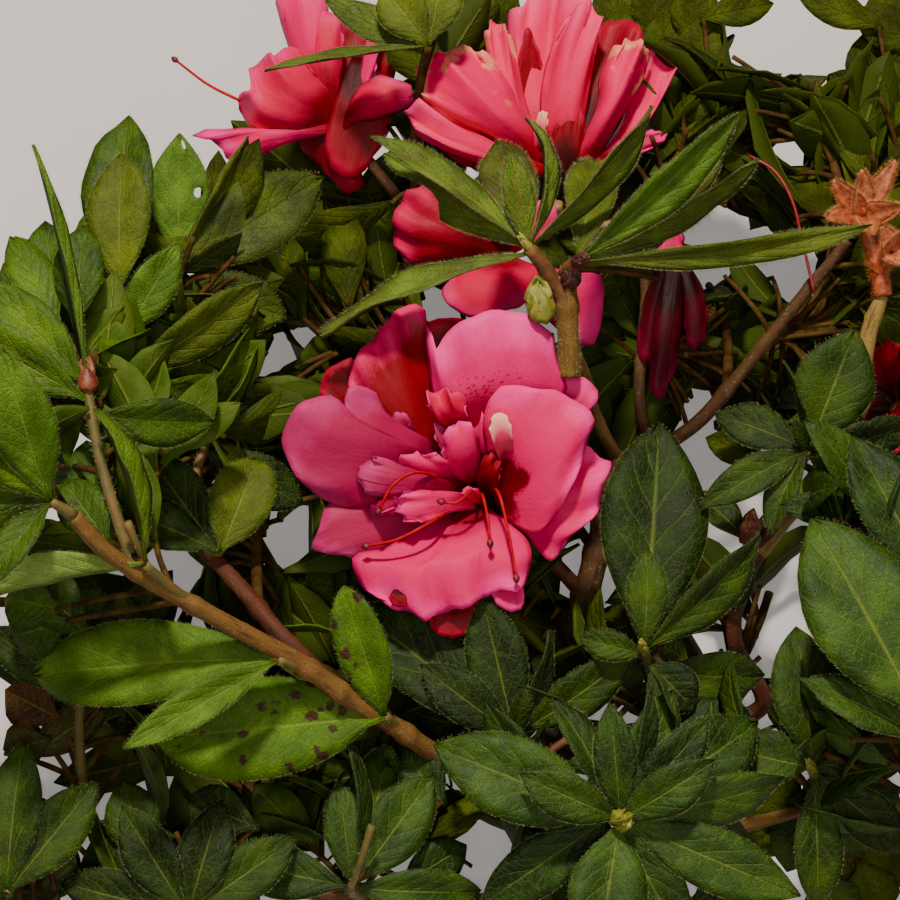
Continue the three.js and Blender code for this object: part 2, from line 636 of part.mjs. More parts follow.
function startShoot(name) {
  const { from, tip, bud } = SHOOTS[name];
  curves[name] = stemCurve(from, tip);
  solids[name] = stemTube(curves[name], from, SHOOT_RADIUS);
  if (bud) {
    const tipBud = budAt(curves[name].getPointAt(1), curves[name].getTangentAt(1), ...bud);
    solids[name] = solids[name].add(tipBud);
  }
  solids[name] = wholeOf(solids[name]);
  colours[name] = GREENS[Object.keys(SHOOTS).indexOf(name) % GREENS.length];
}

function makeBloom(name) {
  const { throat, faces, from, petals, colour, cupped } = BLOOMS[name];
  const centre = spot(throat);
  const front = heading(...faces);
  const up = squareTo(front, Math.abs(front.dot(UP)) > 0.9 ? NEAR : UP);
  const foot = curves[from[0]].getPointAt(from[1]);
  const pedicel = new THREE.QuadraticBezierCurve3(
    foot, centre.clone().addScaledVector(front, -PEDICEL_BEND), centre);
  curves[name] = pedicel;
  let solid = tube(pedicel, 3, 4, () => PEDICEL_RADIUS).subtract(limbTube(from[0], CLEARANCE));
  solid = wholeOf(solid).add(budAt(centre, front, THROAT_RADIUS, THROAT_LENGTH));
  for (const [clock, length, width, opening, arch, fold] of petals) {
    const outward = up.clone().applyAxisAngle(front, -radians(clock));
    const axis = front.clone().multiplyScalar(Math.cos(radians(opening)))
      .addScaledVector(outward, Math.sin(radians(opening)));
    const { rings, tip } = blade({
      base: centre.clone().addScaledVector(outward, THROAT_RING), axis,
      face: squareTo(axis, outward).negate(), length, width,
      outline: cupped && length > LARGE_PETAL ? PETAL_OUTLINE : PETALOID_OUTLINE,
      fold, arch, thickness: PETAL_THICKNESS, foot: PETAL_FOOT,
      spread: cupped && length > LARGE_PETAL ? 0.5 : 0,
    });
    solid = solid.add(loft(rings, tip));
  }
  solids[name] = wholeOf(solid);
  colours[name] = colour;
}

function makeSpentFlower(name) {
  const { from, tip, lobe, cup, star, crown } = SPENT_FLOWERS[name];
  const main = stemCurve(from, tip);
  const fork = new THREE.LineCurve3(main.getPointAt(FORK_AT), spot(cup));
  let solid = stemTube(main, from, SPENT_STALK_RADIUS).add(tube(fork, 1, 4, () => SPENT_STALK_RADIUS));
  const addLobe = (centre, clock, forward, length) => {
    const axis = heading(clock, forward);
    const { rings, tip: point } = blade({
      base: centre, axis, face: squareTo(axis, NEAR), length, width: lobe,
      outline: PLAIN_OUTLINE, fold: LOBE_FOLD, arch: LOBE_ARCH, thickness: LOBE_THICKNESS,
      foot: LOBE_FOOT, spread: 0,
    });
    solid = solid.add(loft(rings, point));
  };
  for (const row of star) addLobe(main.getPointAt(1), ...row);
  for (const row of crown) addLobe(fork.getPointAt(1), ...row);
  solids[name] = wholeOf(solid);
  colours[name] = SPENT;
}

function meshOf(name) {
  const { vertProperties, triVerts } = solids[name].getMesh();
  const geometry = new THREE.BufferGeometry();
  geometry.setAttribute("position", new THREE.BufferAttribute(vertProperties, 3));
  geometry.setIndex(new THREE.BufferAttribute(triVerts, 1));
  geometry.computeVertexNormals();
  const material = new THREE.MeshStandardMaterial({
    color: colours[name], roughness: 0.6, metalness: 0, flatShading: true,
  });
  const mesh = new THREE.Mesh(geometry, material);
  mesh.name = name;
  return mesh;
}

Object.keys(LIMBS).forEach(makeLimb);
Object.keys(BLOOMS).forEach(makeBloom);
Object.keys(SPENT_FLOWERS).forEach(makeSpentFlower);
Object.keys(SHOOTS).forEach(startShoot);
for (const name of Object.keys(SHOOTS)) addLeaves(name, handTurned(name));
for (const name of Object.keys(SHOOTS)) addLeaves(name, whorl(name));

const group = new THREE.Group();
group.add(...Object.keys(solids).map(meshOf));

export default group;
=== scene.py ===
from functools import cache
from math import cos, pi, radians, sin
import bmesh
import bpy
import numpy as np
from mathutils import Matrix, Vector


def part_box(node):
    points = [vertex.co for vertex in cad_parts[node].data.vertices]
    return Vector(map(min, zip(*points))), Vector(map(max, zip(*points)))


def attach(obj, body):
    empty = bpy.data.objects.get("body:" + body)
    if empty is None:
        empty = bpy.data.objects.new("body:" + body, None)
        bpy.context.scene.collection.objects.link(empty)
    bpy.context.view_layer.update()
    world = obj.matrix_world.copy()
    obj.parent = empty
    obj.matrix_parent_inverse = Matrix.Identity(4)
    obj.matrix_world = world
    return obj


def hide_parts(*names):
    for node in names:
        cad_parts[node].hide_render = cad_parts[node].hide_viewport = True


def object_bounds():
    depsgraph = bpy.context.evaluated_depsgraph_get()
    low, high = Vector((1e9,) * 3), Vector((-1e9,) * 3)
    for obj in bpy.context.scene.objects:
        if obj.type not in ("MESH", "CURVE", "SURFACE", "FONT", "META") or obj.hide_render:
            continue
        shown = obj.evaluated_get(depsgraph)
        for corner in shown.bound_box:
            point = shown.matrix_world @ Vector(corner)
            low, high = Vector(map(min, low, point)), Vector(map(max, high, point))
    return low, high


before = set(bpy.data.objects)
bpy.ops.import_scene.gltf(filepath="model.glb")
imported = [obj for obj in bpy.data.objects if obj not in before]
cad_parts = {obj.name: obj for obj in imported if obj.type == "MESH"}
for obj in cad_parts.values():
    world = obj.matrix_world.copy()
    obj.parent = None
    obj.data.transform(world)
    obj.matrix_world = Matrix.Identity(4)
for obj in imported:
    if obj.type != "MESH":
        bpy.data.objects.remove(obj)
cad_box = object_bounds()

# The bough lies on level ground with its face turned up. Every place on it is given as
# [across, up, near] in millimetres from the middle of that face, with near pointing out
# of it, as in the solids' source, and a mesh takes its points in metres.
MM = 0.001
FACE_TILT = radians(25)
FACE_MIDDLE = np.array([-8.2, -7.04, 80.06])
ACROSS = np.array([1.0, 0.0, 0.0])
UP = np.array([0.0, cos(FACE_TILT), sin(FACE_TILT)])
NEAR = np.array([0.0, -sin(FACE_TILT), cos(FACE_TILT)])
CAMERA_REACH = 458
LENS = 85
SENSOR = 36
NEAREST_SEEN = 0.01
FRAME_STEP = 0.215
FRAME_HALF = 450

# Foliage: the rule's measures are those of the solids' source
SHOOT_RADIUS = 1.15
STEM_LEAN = 0.12
STEM_BEND_AT = 0.45
GOLDEN_ANGLE = 137.5
GOLDEN_STRAY = 20
YOUNG_SPLAY = 30
OLD_SPLAY = 88
SPLAY_STRAY = 8
LEAF_LENGTHS = [26, 42]
LEAF_SLENDERNESS = 0.4
LEAF_THICKNESS = 0.35
LEAF_FOLD = 14
LEAF_ARCH = 22
LEAF_ROLL = 25
OLD_LEAF_DROP = 0.4
DEEPEST_PRESS = 9
BLOOM_VIEW = 0.8

FIRST_SEED = 11
FINER_SEED = 100
BLOOM_SEED = 500
SPENT_SEED = 77
PHASES = [0, 6]
DICE_SPREAD = 7919
DICE_FACTOR = 16807
DICE_RANGE = 2147483647

# Limbs: the limb and the fraction along it that bears the foot, places along the centre
# line, and the radius at foot and tip
LIMBS = {
    "main_limb": (None, [[32, -124, -24.8], [28.8, -103, -32.3], [25.5, -81, -37], [26.3, -59, -42],
                  [32, -35, -45], [36.6, -16.5, -45], [39.3, 0, -40]], [5.2, 2.4]),
    "left_limb": (["main_limb", 0.33], [[9, -76, -25], [-2, -68, -12], [-12, -60, -3], [-21.5, -53, 4],
                  [-31.5, -45, 10], [-47.5, -35, 20], [-62.5, -25, 30], [-69.5, -19, 36],
                  [-74, -13, 40]], [2.5, 1.6]),
    "red_limb": (["left_limb", 0.5], [[-34, -41.5, 6], [-43, -32, 1], [-51, -24, -4], [-57.5, -18, -8],
                 [-66, -9, -12]], [2.1, 1.5]),
    "right_limb": (["main_limb", 0.48], [[44, -66, -36], [60, -64, -31], [71, -58, -25],
                   [68.5, -51, -22], [64.6, -45, -20], [63.7, -38, -18], [66, -29, -17],
                   [71, -18, -15], [75.5, -8, -12]], [2.4, 1.4]),
    "low_right_limb": (["main_limb", 0.24], [[47, -90, -22], [68, -81.5, -8], [85, -75, 4],
                       [97, -76, 10]], [2.2, 0.9]),
    "low_left_limb": (["main_limb", 0.16], [[0, -103.5, -28], [-27, -100, -22], [-54, -94, -18],
                      [-80, -84, -14], [-94, -76, -10]], [2.8, 1.4]),
    "bloom_limb": (["main_limb", 0.72], [[19, -21, -42], [8, -12, -36], [4.5, -8, -30]], [1.8, 1.4]),
    "top_left_limb": (["main_limb", 0.86], [[26.3, 2.4, -52], [12, 26.5, -57], [-2.4, 48, -58],
                      [-14, 63, -59], [-21, 72, -59]], [2, 1.3]),
    "upper_right_limb": (["main_limb", 0.93], [[49.7, 0, -46], [58.7, 7, -42], [67.5, 17.5, -38],
                         [80.5, 34.5, -32], [91, 48, -28]], [1.9, 1.2]),
    "back_limb": (["upper_right_limb", 0.16], [[45.3, 12, -50], [46.2, 26, -52], [46.7, 41, -52],
                  [42, 54, -48]], [1.5, 1.2]),
    "spent_limb": (["right_limb", 0.84], [[84, -3, -17], [91, 9, -15], [91.5, 17.5, -13],
                   [92.5, 26, -11], [95, 34, -9]], [2.1, 1.9]),
    "top_stub": (None, [[26.2, 16, -8], [25.8, 27, -6.5], [25, 38, -4]], [2.3, 2.3]),
    "top_limb": (["main_limb", 0.985], [[33, 8.5, -28], [30.5, 16, -18], [28, 20.5, -11.5],
                 [26, 22.5, -7.2]], [1.5, 1.3]),
}

# Blooms: the throat's place, the way the bloom faces as [clock, forward], the limb that
# bears it, and the reach over which leaves by rule leave it in view
BLOOMS = {
    "bloom_front": ([2.6, -4.7, -17], [0, 90], ["bloom_limb", 1], 47),
    "bloom_top": ([25, 58, -42], [-4, 38], ["back_limb", 1], 40),
    "bloom_left": ([-26, 78, -59], [-20, 48], ["top_left_limb", 1], 40),
    "bloom_behind": ([11, 42, -47], [-70, 52], ["top_left_limb", 0.5], 36),
    "bloom_right": ([103, 10, -34], [-60, 40], ["spent_limb", 0.4], 15),
    "bloom_faded": ([54, 42, -47], [176, 12], ["back_limb", 0.8], 30),
}

# The red petals of bloom_right, mostly hidden: clock, length, width, opening, arch, fold
RIGHT_PETALS = [[-80, 15, 13, 26, 60, 8], [-8, 15, 13, 26, 60, 8], [64, 24, 17, 26, 60, 8],
                [136, 24, 17, 26, 60, 8], [-152, 18, 13, 26, 60, 8]]

# Leafy shoots: the limb and the fraction along it that bears the stem, the stem's tip,
# the whorl rule's count and lean, the tip bud's radius and length, the spray's green, and
# the leaves given one by one as [along, clock, forward, length, width, turn]
SHOOTS = {
    "left_front": (["left_limb", 1], [-78, -10, 43], [3, -0.1], None, "bright",
        [[1, -13, 35, 33, 13, 0], [1, -37, 30, 26, 12, 10], [0.95, -140, 40, 22, 8, 20],
         [0.75, -24, 5, 36, 14, 0], [0.9, -75, 15, 33, 13, 10], [0.85, -105, 0, 34, 14, 0]]),
    "left_middle": (["left_limb", 0.87], [-73.5, 13, 27], [2, -0.1], [3, 8], "bright",
        [[1, -10, 2, 50, 6, 78], [1, -42, 10, 30, 11, 10], [0.92, -60, 10, 33, 12, 0],
         [0.85, 98, -10, 26, 11, 20]]),
    "limb_outer": (["left_limb", 0.77], [-61, -23, 33], [0, 0], None, "bright",
        [[1, -96, 4, 40, 13, 130], [1, -8, 8, 33, 11, 80]]),
    "limb_middle": (["left_limb", 0.56], [-36, -44, 14], [0, 0], None, "deep",
        [[1, -90, -3, 56, 19, 22], [1, -118, 24, 37, 9.5, 12]]),
    "limb_fork": (["left_limb", 0.36], [-14, -57, 2], [0, 0], None, "spotted",
        [[1, -95, 5, 50, 22, 8], [0.6, -74, -12, 32, 14, 36], [1, -17, 18, 30, 11.5, 0]]),
    "left_under": (["low_left_limb", 0.86], [-80, -53, -3], [6, -0.1], None, "deep",
        [[1, 5, -14, 26, 15, 20], [1, -56, 4, 26, 10, 0], [0.9, 40, -16, 24, 11, 10]]),
    "centre": (["main_limb", 0.46], [14, -62, -3], [3, -0.3], [1.6, 5], "deep",
        [[0.97, -51, -4, 46, 18, 12], [1, -53, 14, 26, 11, 0], [1, -13, 4, 31, 13.5, 0],
         [1, 11, 40, 13, 5, 0], [0.95, 26, 4, 24, 10, 58], [0.92, 57, 12, 31, 11, 10]]),
    "centre_right": (["right_limb", 0.18], [41.7, -43, 0], [3, -0.3], [1.6, 5], "deep",
        [[1, 5, -2, 51, 24, 0], [1, 3, 13, 22, 9, 0], [1, 51, 4, 36, 12, 24],
         [0.95, -76, 12, 15, 7, 0], [0.75, 95, -6, 27, 13, 14],
         [0.6, 114, 8, 26, 12, 0], [0.88, 136, 22, 15, 11, 0]]),
    "bottom_front": (["main_limb", 0.28], [33.8, -73.5, 35], [3, -0.3], [3.4, 9], "cool",
        [[0.97, -69, 8, 40, 17, 0], [1, -64, 22, 23, 10, 0], [0.9, -17, 0, 27, 9, 40],
         [1, -5, 22, 24, 9, 0], [0.96, 27, 8, 28, 9, 56], [0.86, 33, -8, 30, 12, 10],
         [1, 41, 12, 27, 10, 0], [1, 56, 26, 23, 10, 0], [0.93, 60, -3, 37, 17, 0],
         [0.96, 82, 6, 36, 12, 16], [0.96, 113, 10, 40, 13, 0], [1, -168, 28, 28, 16, 0],
         [0.95, 152, 14, 30, 13, 0], [0.92, -123, 6, 34, 12, 10]]),
    "top_left": (["top_stub", 0.7], [17, 43.5, 1], [0, 0], [1.4, 5], "young",
        [[1, -49, 5, 42, 9, 46], [0.96, -56, -7, 40, 11.5, -6], [0.9, -103, 3, 50, 9, 48],
         [1, -12, 12, 21, 7, 0], [1, -16, -12, 29, 13, 0], [1, 16, 2, 30, 8, 66],
         [1, 46, 8, 40, 10, 58]]),
    "top_right": (["top_stub", 1], [27.5, 40.5, 3], [0, 0], [2.4, 6], "young",
        [[1, 12, -34, 40, 12, 0], [1, 50, 11, 46, 11.5, 34], [0.95, 67, -2, 47, 8.5, 44],
         [0.8, 55, -16, 46, 11, 12], [0.9, 87, 5, 64, 7, 46], [0.7, 77, -12, 25, 9, 58]]),
    "right": (["right_limb", 1], [77.5, 0, -3], [3, -0.2], None, "deep",
        [[1, 21, 8, 28, 17.5, 0], [1, -64, -5, 22, 10, 16], [1, -30, 44, 9, 4, 0],
         [1, -112, 20, 27, 9, 20], [1, -142, 24, 21, 8, 44], [0.6, 121, 0, 32, 12, 14],
         [1, -9, 18, 21, 9, 80], [0.9, 80, 8, 25, 11, 34]]),
    "bud_spur": (["right_limb", 0.74], [65.5, -19, -9], [0, 0], [3.4, 9], "deep",
        [[0.9, -40, -6, 17, 9, 30], [0.9, -165, -4, 16, 8, 30]]),
    "right_front": (["low_right_limb", 0.97], [93, -54, 42], [3, 0], None, "cool",
        [[1, -27, 0, 47, 24, 0], [0.85, -60, 8, 28, 10, 30], [1, 30, -4, 36, 17, 0],
         [0.9, 85, 0, 32, 14, 0], [0.8, 130, 0, 30, 13, 0]]),
    "right_side": (["spent_limb", 0.2], [99, -30, 34], [4, 0.1], None, "cool",
        [[1, -72, 6, 28, 9, 28], [1, 4, 0, 34, 16, 0], [0.9, 60, -10, 28, 12, 0],
         [0.9, -26, -8, 35, 15, 0], [0.9, 112, 0, 28, 13, 0]]),
    "right_low": (["low_right_limb", 0.74], [75, -66, 17], [4, -0.1], [1.6, 5], "deep",
        [[1, -4, 4, 30, 15, 0], [1, -76, 6, 17, 12, 8], [1, 80, 6, 24, 10, 0],
         [0.85, 178, 6, 29, 11, 0], [0.85, 128, 6, 27, 11, 0], [0.95, 44, -8, 28, 12, 0]]),
    "low_middle": (["low_left_limb", 0.38], [-21, -94, 0], [6, 0], None, "cool",
        [[1, -8, 4, 23, 9, 0], [1, 15, 6, 32, 10, 76], [0.95, 37, -7, 30, 14, 0],
         [0.9, 18, -16, 36, 14, 10], [0.9, -78, 0, 30, 12, 10], [0.9, 95, 0, 30, 12, 0]]),
    "low_left": (["low_left_limb", 0.66], [-56, -99, 4], [7, 0.1], None, "deep",
        [[1, 16, 5, 25, 12, 0], [1, -32, 4, 27, 12, 0], [1, 56, 0, 28, 12, 0],
         [1, -78, 0, 29, 12, 0]]),
    "low_corner": (["low_left_limb", 0.9], [-94, -94, 8], [7, 0.2], None, "deep",
        [[1, 4, 0, 33, 13, 0], [1, -38, 0, 30, 13, 0], [1, 38, -4, 30, 13, 0],
         [1, -88, 0, 26, 12, 0]]),
    "left_edge": (["low_left_limb", 1], [-94, -68, -9], [4, 0], None, "dead",
        [[1, 60, 2, 24, 10, 26], [1, 8, 4, 16, 6, 40]]),
    "red_spur": (["red_limb", 0.68], [-49.5, -22, 1], [0, 0], None, "deep",
        [[1, 22, -4, 23, 14, 8], [1, -38, -4, 28, 14, 0], [1, -63, 10, 29, 12, 28]]),
    "upper_left": (["red_limb", 1], [-70.5, 33, 5], [3, -0.2], None, "bright",
        [[1, 0, 6, 32, 14, 0], [1, -2, -8, 43, 17, -10], [0.78, 34, 18, 24, 10, 10],
         [0.74, -13, 6, 27, 11, 0], [0.74, -16, 22, 21, 8, 0], [0.8, -41, 0, 34, 11, 34],
         [0.68, -52, 6, 32, 11, 18], [0.6, 62, 2, 36, 13, 44]]),
    "back_left": (["red_limb", 0.93], [-61, 42, -19], [4, -0.2], None, "shade",
        [[1, 1, 4, 29, 13.5, 0], [1, 35, 0, 33, 12, 52], [0.95, 54, -8, 42, 18, 0],
         [0.9, 104, -5, 27, 14, 0], [0.95, 65, 12, 18, 9, 66]]),
    "middle_left": (["red_limb", 0.8], [-54, 2, -15], [4, -0.2], None, "deep",
        [[1, 62, -5, 19, 9, 16], [1, -58, -16, 27, 13, 16], [1, 12, -6, 27, 12, 0],
         [0.9, 120, -6, 26, 12, 0]]),
    "top_leaf": (["top_left_limb", 0.8], [-5, 92, -26], [3, -0.1], None, "shade",
        [[1, -99, 12, 38, 7, 62], [1, -36, 12, 18, 12, 0], [1, 12, 10, 19, 12, 0],
         [0.95, -60, -6, 27, 9, 14]]),
}

# Dark shoots behind and below, with no leaves given one by one: the limb, the fraction along
# it, the stem's tip, and the whorl rule's count and lean
DARK_SHOOTS = {
    "back_top": ("back_limb", 0.92, [63, 66, -52], [10, 0.2]),
    "back_corner": ("upper_right_limb", 1, [84, 82, -42], [9, 0.4]),
    "right_corner": ("upper_right_limb", 0.84, [108, 64, -36], [10, 0.3]),
    "back_right": ("upper_right_limb", 0.62, [92, 32, -44], [10, 0.2]),
    "back_middle": ("back_limb", 0.4, [61, 26, -58], [11, 0.2]),
    "behind_bloom": ("top_left_limb", 0.42, [-26, 24, -47], [11, 0.1]),
    "behind_left": ("red_limb", 0.4, [-41, -6, -34], [11, 0.1]),
    "behind_centre": ("main_limb", 0.52, [0, -41, -38], [11, 0.1]),
    "under_left": ("low_left_limb", 0.5, [-54, -48, -42], [8, 0.3]),
    "under_right": ("right_limb", 0.3, [76, -34, -48], [8, 0.3]),
    "under_top_left": ("top_left_limb", 0.6, [-34, 50, -82], [8, 0.3]),
    "under_top_right": ("upper_right_limb", 0.45, [66, 42, -84], [8, 0.3]),
    "under_middle": ("main_limb", 0.8, [14, -4, -72], [8, 0.3]),
}
# They take the shade green, a painted shade
for shoot, (limb, along, tip, rule) in DARK_SHOOTS.items():
    SHOOTS[shoot] = ([limb, along], tip, rule, None, "shade", [])

# The spent flower: the limb that bears it, the star's and the cup's places, and the
# calyx lobes of each as [clock, forward, length]
SPENT_FLOWER = (["spent_limb", 1], [90, 51.5, -7], [96, 43, -5],
                [[-50, 24, 11], [-2, 26, 11], [-103, 24, 10], [27, 16, 14], [84, 24, 9], [160, 40, 7]],
                [[-30, 30, 7], [20, 40, 7], [70, 30, 7], [140, 40, 6]])

